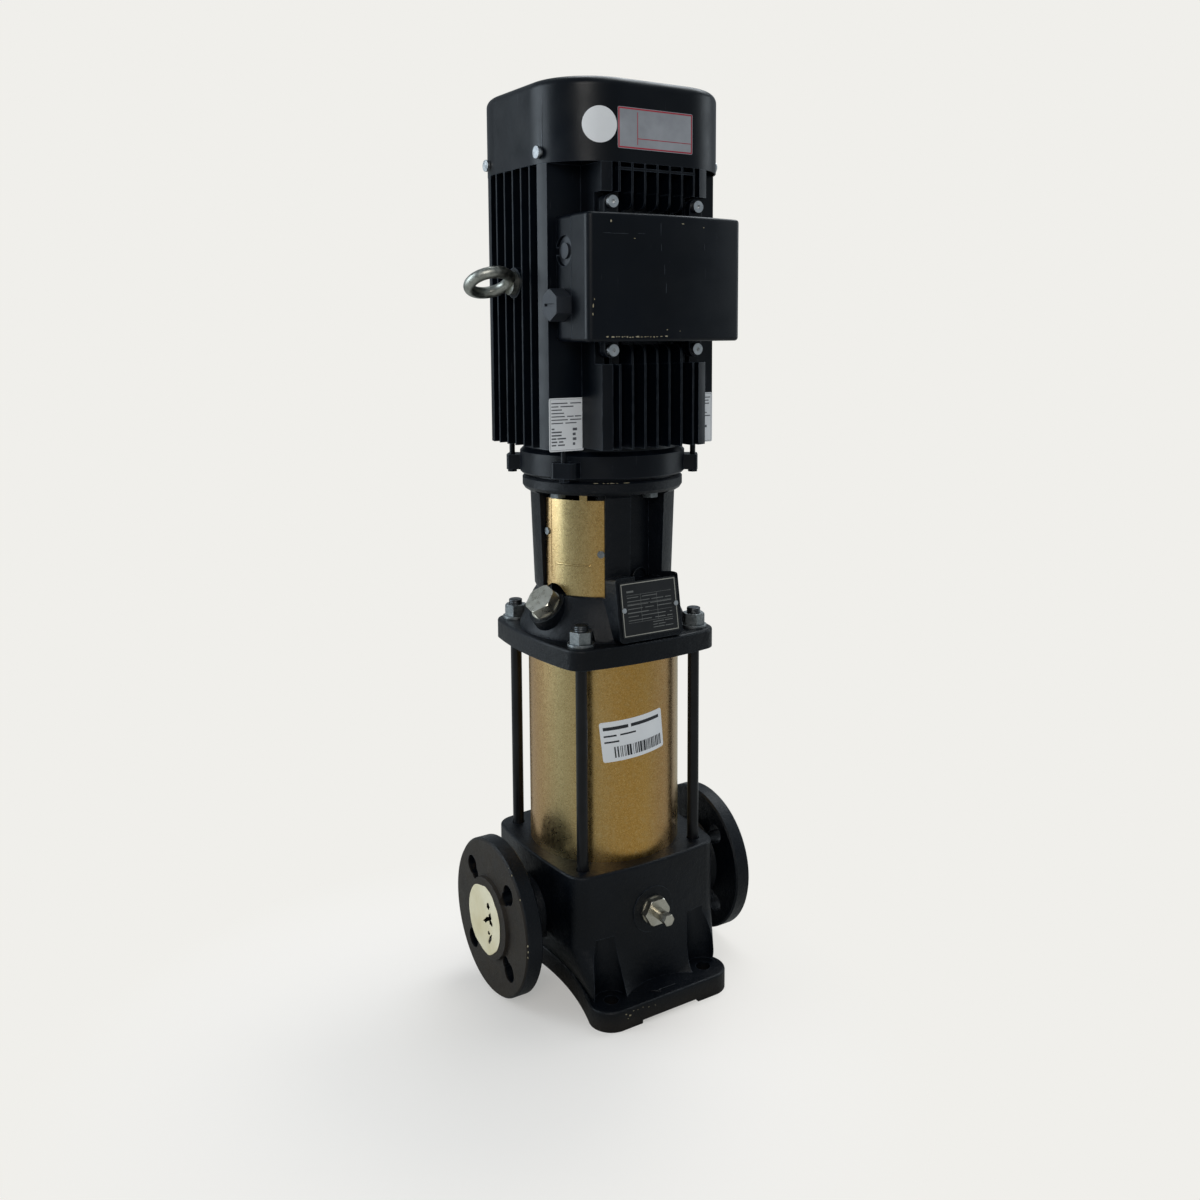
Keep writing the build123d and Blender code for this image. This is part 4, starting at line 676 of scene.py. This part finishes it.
def make_port_film():
    """Cream film stuck over the raised face; its rim is ragged, and tears show the dark bore."""
    middle_y, middle_z, reach = scaled(4.5, 72.5, 31.0)
    draw = random.Random(8)
    waves = [(k, draw.uniform(-1, 1), draw.uniform(0, 6.28)) for k in (2, 3, 5, 7, 11, 17)]
    rings, spokes = 44, 150
    bm = bmesh.new()
    grid = []
    for i in range(rings + 1):
        line = []
        for k in range(spokes):
            a = 2 * math.pi * k / spokes
            ragged = 1 + 0.012 * sum(height * math.sin(n * a + phase) for n, height, phase in waves)
            r = reach * ragged * i / rings
            y, z = middle_y + r * math.cos(a), middle_z + r * math.sin(a)
            line.append(bm.verts.new((base_low.x + film_depth(y, z), y, z)))
        grid.append(line)
    for i in range(rings):
        for k in range(spokes):
            n = (k + 1) % spokes
            corners = [grid[i][k], grid[i][n], grid[i + 1][n], grid[i + 1][k]]
            middle = sum((corner.co for corner in corners), Vector()) / 4
            if not in_tear(middle.y, middle.z):
                bm.faces.new(corners)
    bmesh.ops.remove_doubles(bm, verts=bm.verts, dist=1e-6)
    bmesh.ops.delete(bm, geom=[v for v in bm.verts if not v.link_faces], context="VERTS")
    piece = link("port_film", bm, film, smooth=True)
    thick = piece.modifiers.new("thickness", "SOLIDIFY")
    thick.thickness = film_thickness


# ================================================================ cast marks, threads and small edges
def make_flow_arrow():
    """Raised arrow cast on the foot."""
    bm = bmesh.new()
    outline = [(-14, -98), (-6.5, -104), (-6.5, -101.2), (11, -101.2), (11, -94.8), (-6.5, -94.8),
               (-6.5, -92)]
    add_prism(bm, outline, foot_top, 1.1 * MM, 1.6 * MM)
    piece = link("flow_arrow", bm, cast_black)
    soft = piece.modifiers.new("edges", "BEVEL")
    soft.width = 0.45 * MM
    soft.segments = 2


def make_threads():
    """Screw thread on the ends of the stay bolts above their nuts."""
    outer_r, depth, pitch, end_chamfer = scaled(6.28, 0.32, 1.6, 0.9)
    steps, levels, chamfer_levels = 32, 26, 3
    low = nut_top - 0.3 * MM
    high = stay_top + 0.05 * MM
    bm = bmesh.new()
    for x in (-stay_offset, stay_offset):
        for y in (-stay_offset, stay_offset):
            rings = []
            for i in range(levels + 1):
                z = low + (high - low) * i / levels
                chamfer = end_chamfer * max(0.0, (i - levels + chamfer_levels) / chamfer_levels)
                ring = []
                for k in range(steps):
                    a = 2 * math.pi * k / steps
                    phase = (z / pitch - k / steps) % 1.0
                    r = outer_r - depth * (1 - abs(2 * phase - 1)) - chamfer
                    ring.append(bm.verts.new((x + r * math.cos(a), y + r * math.sin(a), z)))
                rings.append(ring)
            add_tube(bm, rings)
    link("stay_threads", bm, thread_steel)


def make_fin_ends():
    """Ends of the front fins where they run out at the terminal box, and the web that joins the fins."""
    seat_y = -74 * MM
    tip_y = -motor_half + 0.4 * MM
    half_root, half_tip = 1.7 * MM, 0.9 * MM
    curve_depth = 0.55 * (seat_y - tip_y)
    steps = 6
    # Heights where an end starts at the box and where it joins the CAD fin, above the box and below it
    heights = (scaled(698, 712), scaled(587.5, 571))

    def front_y(share):
        """The front of a fin curves back over the half of its end that is nearer to the box."""
        return tip_y + curve_depth * (1 - math.sqrt(1 - (1 - share) ** 2))

    bm = bmesh.new()
    for index in range(-2, 3):
        x = index * fin_pitch
        for at_box, at_fin in heights:
            rounded_reach = (at_fin - at_box) / 2
            stations = [(at_box + rounded_reach * k / steps, front_y(k / steps)) for k in range(steps + 1)]
            stations.append((at_fin, tip_y))
            rings = []
            for z, y in stations:
                corners = ((-half_root, seat_y), (half_root, seat_y), (half_tip, y), (-half_tip, y))
                rings.append([bm.verts.new((x + dx, corner_y, z)) for dx, corner_y in corners])
            add_tube(bm, rings)
    web_x, web_y, web_z = scaled(-38.5, 38.5), scaled(-88.95, -84.0), scaled(729.0, 731.2)
    add_box(bm, [(x, y, z) for x in web_x for y in web_y for z in web_z])
    link("fin_ends", bm, motor_black)


def make_guard_details():
    """Hold-down tab on top of each guard, and the crease near its edge."""
    tab_r, tab_angles, tab_z = (59.2, 60.9), (218.8, 225.2), (447.5, 457.6)
    crease_r, crease_angles, crease_z = (60.0, 60.35), (188.4, 188.9), (382.0, 451.8)
    bm = bmesh.new()
    for turn in (0, 180):
        add_box(bm, [polar(r, turn + a, z) for r in tab_r for a in tab_angles for z in tab_z])
        add_box(bm, [polar(r, turn + a, z) for a in crease_angles for z in crease_z for r in crease_r])
    link("guard_tabs", bm, sheet_gold)


def make_pocket_bosses():
    """Half-round boss at the foot of each blind pocket of the stool."""
    pocket_angle, pocket_r, pocket_z = 279, 50.2, 380.3
    bend_r, bead_r = 8.2, 1.3
    bends, sides = 16, 10
    bm = bmesh.new()
    for turn in (pocket_angle, pocket_angle + 180):
        centre = polar(pocket_r, turn, pocket_z)
        outward = polar(1, turn, 0)
        along = polar(1, turn + 90, 0)
        upward = Vector((0, 0, MM))
        rings = []
        for i in range(bends + 1):
            a = math.pi * i / bends
            spoke = along * math.cos(a) + upward * math.sin(a)
            ring = []
            for k in range(sides):
                b = 2 * math.pi * k / sides
                around = spoke * (bend_r + bead_r * math.cos(b)) + outward * bead_r * math.sin(b)
                ring.append(bm.verts.new(centre + around))
            rings.append(ring)
        add_tube(bm, rings)
    link("pocket_bosses", bm, cast_black, smooth=True)


# ================================================================ flaked and scratched paint
# Each chip and scratch below is its place on the surface and its two half sizes, in millimetres
def add_flake(bm, draw, surface, u, v, half_u, half_v, lift=0.1 * MM):
    """Thin chip with an uneven outline."""
    count = draw.randint(6, 9)
    outline = []
    for k in range(count):
        a = 2 * math.pi * k / count
        r = draw.uniform(0.55, 1.0)
        outline.append((u + half_u * r * math.cos(a), v + half_v * r * math.sin(a)))
    add_prism(bm, outline, surface, lift, 0.25 * MM)


def make_box_chips(draw):
    """A worn line along the lower edge of the terminal box, and single chips near its other edges."""
    bm = bmesh.new()
    worn_z = box_bottom / MM + 3.9
    worn_left, worn_right = -62.0, -4.0
    u = worn_left
    while u < worn_right:
        width = draw.uniform(1.2, 4.6)
        v = worn_z + draw.uniform(-0.4, 0.5)
        add_flake(bm, draw, cover_front, u + width / 2, v, width / 2, draw.uniform(0.35, 0.8))
        u += width + draw.uniform(0.0, 1.6)
    for chip in ((-57, 685.6, 0.7, 1.6), (11, 686, 1.8, 0.6), (-72.6, 619, 0.5, 2.0),
                 (-72.8, 612, 0.6, 1.4), (-71.5, 624, 0.4, 0.9), (-36, 672.6, 1.0, 0.35),
                 (33, 684, 0.8, 0.5), (-5, 599.6, 0.8, 0.5), (8, 598.5, 0.5, 0.4)):
        add_flake(bm, draw, cover_front, *chip)
    link("paint_chips_box", bm, bare_chip)


def make_box_scratches(draw):
    """Hair-thin rubbed lines on the front of the terminal box."""
    bm = bmesh.new()
    for scratch in ((-11.2, 681, 0.16, 6.2), (-10.8, 666, 0.13, 4.4), (-7.6, 648, 0.16, 6.0),
                    (-6.0, 633, 0.2, 5.4), (-52, 676.2, 15.5, 0.16), (-2.5, 655, 0.3, 0.25),
                    (-30, 676.6, 5.5, 0.1), (34, 668, 0.12, 4.0)):
        add_flake(bm, draw, cover_front, *scratch, 0.06 * MM)
    link("scratches_box", bm, rubbed_line)


def make_casting_chips(draw):
    """Chips on the front of the foot, the rim of the suction flange and the edge of the stool's ring."""
    bm = bmesh.new()
    for chip in ((-47.5, 14.2, 0.9, 0.6), (-43.5, 12.0, 1.6, 0.9), (-40, 14.9, 0.7, 0.35),
                 (-35.5, 14.4, 0.5, 0.35), (-45.6, 9.6, 0.8, 0.4), (-30, 14.8, 0.6, 0.3),
                 (-24, 13.2, 0.5, 0.4), (-17, 12.6, 0.4, 0.3)):
        add_flake(bm, draw, foot_front, *chip)
    # Stretches of the flange's rim in degrees from the horizontal, and how many chips each has
    for near, far, count in ((-168, -198, 6), (120, 150, 3)):
        for _ in range(count):
            rim = flange_rim_at(math.radians(draw.uniform(near, far)))
            u, half_u, half_v = draw.uniform(-0.4, 0.4), draw.uniform(0.3, 0.7), draw.uniform(0.5, 1.3)
            add_flake(bm, draw, rim, u, 0.0, half_u, half_v, 0.2 * MM)
    for _ in range(16):
        edge = stool_ring_at(math.radians(draw.uniform(232, 258)))
        add_flake(bm, draw, edge, 0.0, 0.0, draw.uniform(0.5, 1.8), draw.uniform(0.15, 0.35), 0.12 * MM)
    link("paint_chips_castings", bm, bare_chip)


make_cowl_stickers()
make_sleeve_label()
make_motor_labels()
make_nameplate_print()
make_port_film()
make_flow_arrow()
make_threads()
make_fin_ends()
make_guard_details()
make_pocket_bosses()
wear = random.Random(17)
make_box_chips(wear)
make_box_scratches(wear)
make_casting_chips(wear)


# ================================================================ camera, light and floor
def make_camera():
    """Same place and angle as the photograph's."""
    data = bpy.data.cameras.new("camera")
    data.sensor_width = 36.0
    data.lens = 34.70
    data.shift_x = -0.0122
    data.shift_y = -0.115
    data.clip_end = 50.0
    camera = bpy.data.objects.new("camera", data)
    bpy.context.scene.collection.objects.link(camera)
    camera.location = (-0.5591, -0.8933, 0.5994)
    yaw, pitch, roll = math.radians(32.66), math.radians(6.5), math.radians(0.24)
    turn = Matrix.Rotation(-yaw, 4, "Z") @ Matrix.Rotation(math.radians(90) - pitch, 4, "X")
    camera.matrix_world = Matrix.Translation(camera.location) @ turn @ Matrix.Rotation(-roll, 4, "Z")
    bpy.context.scene.camera = camera


BACKGROUND = rgb(240, 239, 235)
SHADOW_SHARE = (0.66, 0.61, 0.575, 1.0)
BASE_GLOW = (0.31, 0.31, 0.3, 1.0)
ROOM_COLOUR = (0.8, 0.91, 1.0, 1.0)
# The floor shows its shadow around this place, and fades into the background between these distances
SHADOW_MIDDLE = (-0.16, -0.07, 0.0)
SHADOW_FADE = (0.12, 0.36)


def mix_shaders(tree, factor, first, second):
    """Shader that is the first where the factor is 0 and the second where it is 1."""
    mixer = tree.nodes.new("ShaderNodeMixShader")
    for socket, source in zip(mixer.inputs, (factor, first, second)):
        tree.links.new(source, socket)
    return mixer.outputs[0]


def make_floor():
    """Pale floor that keeps the soft shadow near the pump and is the even background elsewhere."""
    bpy.ops.mesh.primitive_plane_add(size=24.0, location=(0, 0, 0))
    floor = bpy.context.object
    floor.name = "floor"
    g = Graph("floor")
    g.surface(Base_Color=rgb(178, 177, 173), Roughness=0.9, Specular_IOR_Level=0.0)
    shade = g.node("ShaderNodeBsdfDiffuse", Color=SHADOW_SHARE)
    glow = g.node("ShaderNodeEmission", Color=BASE_GLOW, Strength=1.0)
    near = g.tree.nodes.new("ShaderNodeAddShader")
    g.feed(near.inputs[0], shade.outputs[0])
    g.feed(near.inputs[1], glow.outputs[0])
    even = g.node("ShaderNodeEmission", Color=BACKGROUND, Strength=1.0)
    from_shadow = g.vector_math("SUBTRACT", g.place, SHADOW_MIDDLE)
    distance = g.vector_math("LENGTH", from_shadow.outputs["Vector"])
    far = g.ramp(distance.outputs["Value"], *SHADOW_FADE)
    shown = mix_shaders(g.tree, far, near.outputs[0], even.outputs[0])
    # Only the camera sees this floor; light bounces off the plain one
    seen = g.node("ShaderNodeLightPath").outputs["Is Camera Ray"]
    g.feed(g.output.inputs["Surface"], mix_shaders(g.tree, seen, g.shader.outputs[0], shown))
    floor.data.materials.append(g.material)


def make_world():
    """Even backdrop for the camera, and dim bluish light from the room for everything else."""
    world = bpy.data.worlds.new("studio")
    bpy.context.scene.world = world
    world.use_nodes = True
    tree = world.node_tree
    tree.nodes.clear()
    seen = tree.nodes.new("ShaderNodeLightPath")
    visible = tree.nodes.new("ShaderNodeMath")
    visible.operation = "MAXIMUM"
    tree.links.new(seen.outputs["Is Camera Ray"], visible.inputs[0])
    tree.links.new(seen.outputs["Is Transmission Ray"], visible.inputs[1])
    backdrop = tree.nodes.new("ShaderNodeBackground")
    backdrop.inputs["Color"].default_value = BACKGROUND
    room = tree.nodes.new("ShaderNodeBackground")
    room.inputs["Color"].default_value = ROOM_COLOUR
    room.inputs["Strength"].default_value = 0.3
    output = tree.nodes.new("ShaderNodeOutputWorld")
    lit = mix_shaders(tree, visible.outputs[0], room.outputs[0], backdrop.outputs[0])
    tree.links.new(lit, output.inputs["Surface"])


def area_light(name, place, aim, size, power, colour):
    """Rectangular light that faces a place in the frame."""
    data = bpy.data.lights.new(name, "AREA")
    data.shape = "RECTANGLE"
    data.size, data.size_y = size
    data.energy = power
    data.color = colour
    light = bpy.data.objects.new(name, data)
    bpy.context.scene.collection.objects.link(light)
    light.location = place
    light.rotation_euler = (Vector(aim) - Vector(place)).to_track_quat("-Z", "Y").to_euler()


make_camera()
make_floor()
make_world()
area_light("left_window", (-2.0, 1.2, 1.0), (0, 0, 0.45), (1.3, 1.9), 36.0, (0.8, 0.91, 1.0))
area_light("ceiling", (0.9, 0.5, 2.4), (0, 0, 0.3), (1.6, 1.6), 36.0, (0.9, 0.96, 1.0))
area_light("key", (-1.5, -2.1, 1.7), (0, 0, 0.45), (1.1, 1.1), 20.0, (1.0, 0.97, 0.93))
area_light("right_fill", (2.1, -0.5, 0.9), (0, 0, 0.45), (0.9, 1.4), 8.0, (0.85, 0.94, 1.0))

scene = bpy.context.scene
scene.view_settings.view_transform = "Standard"
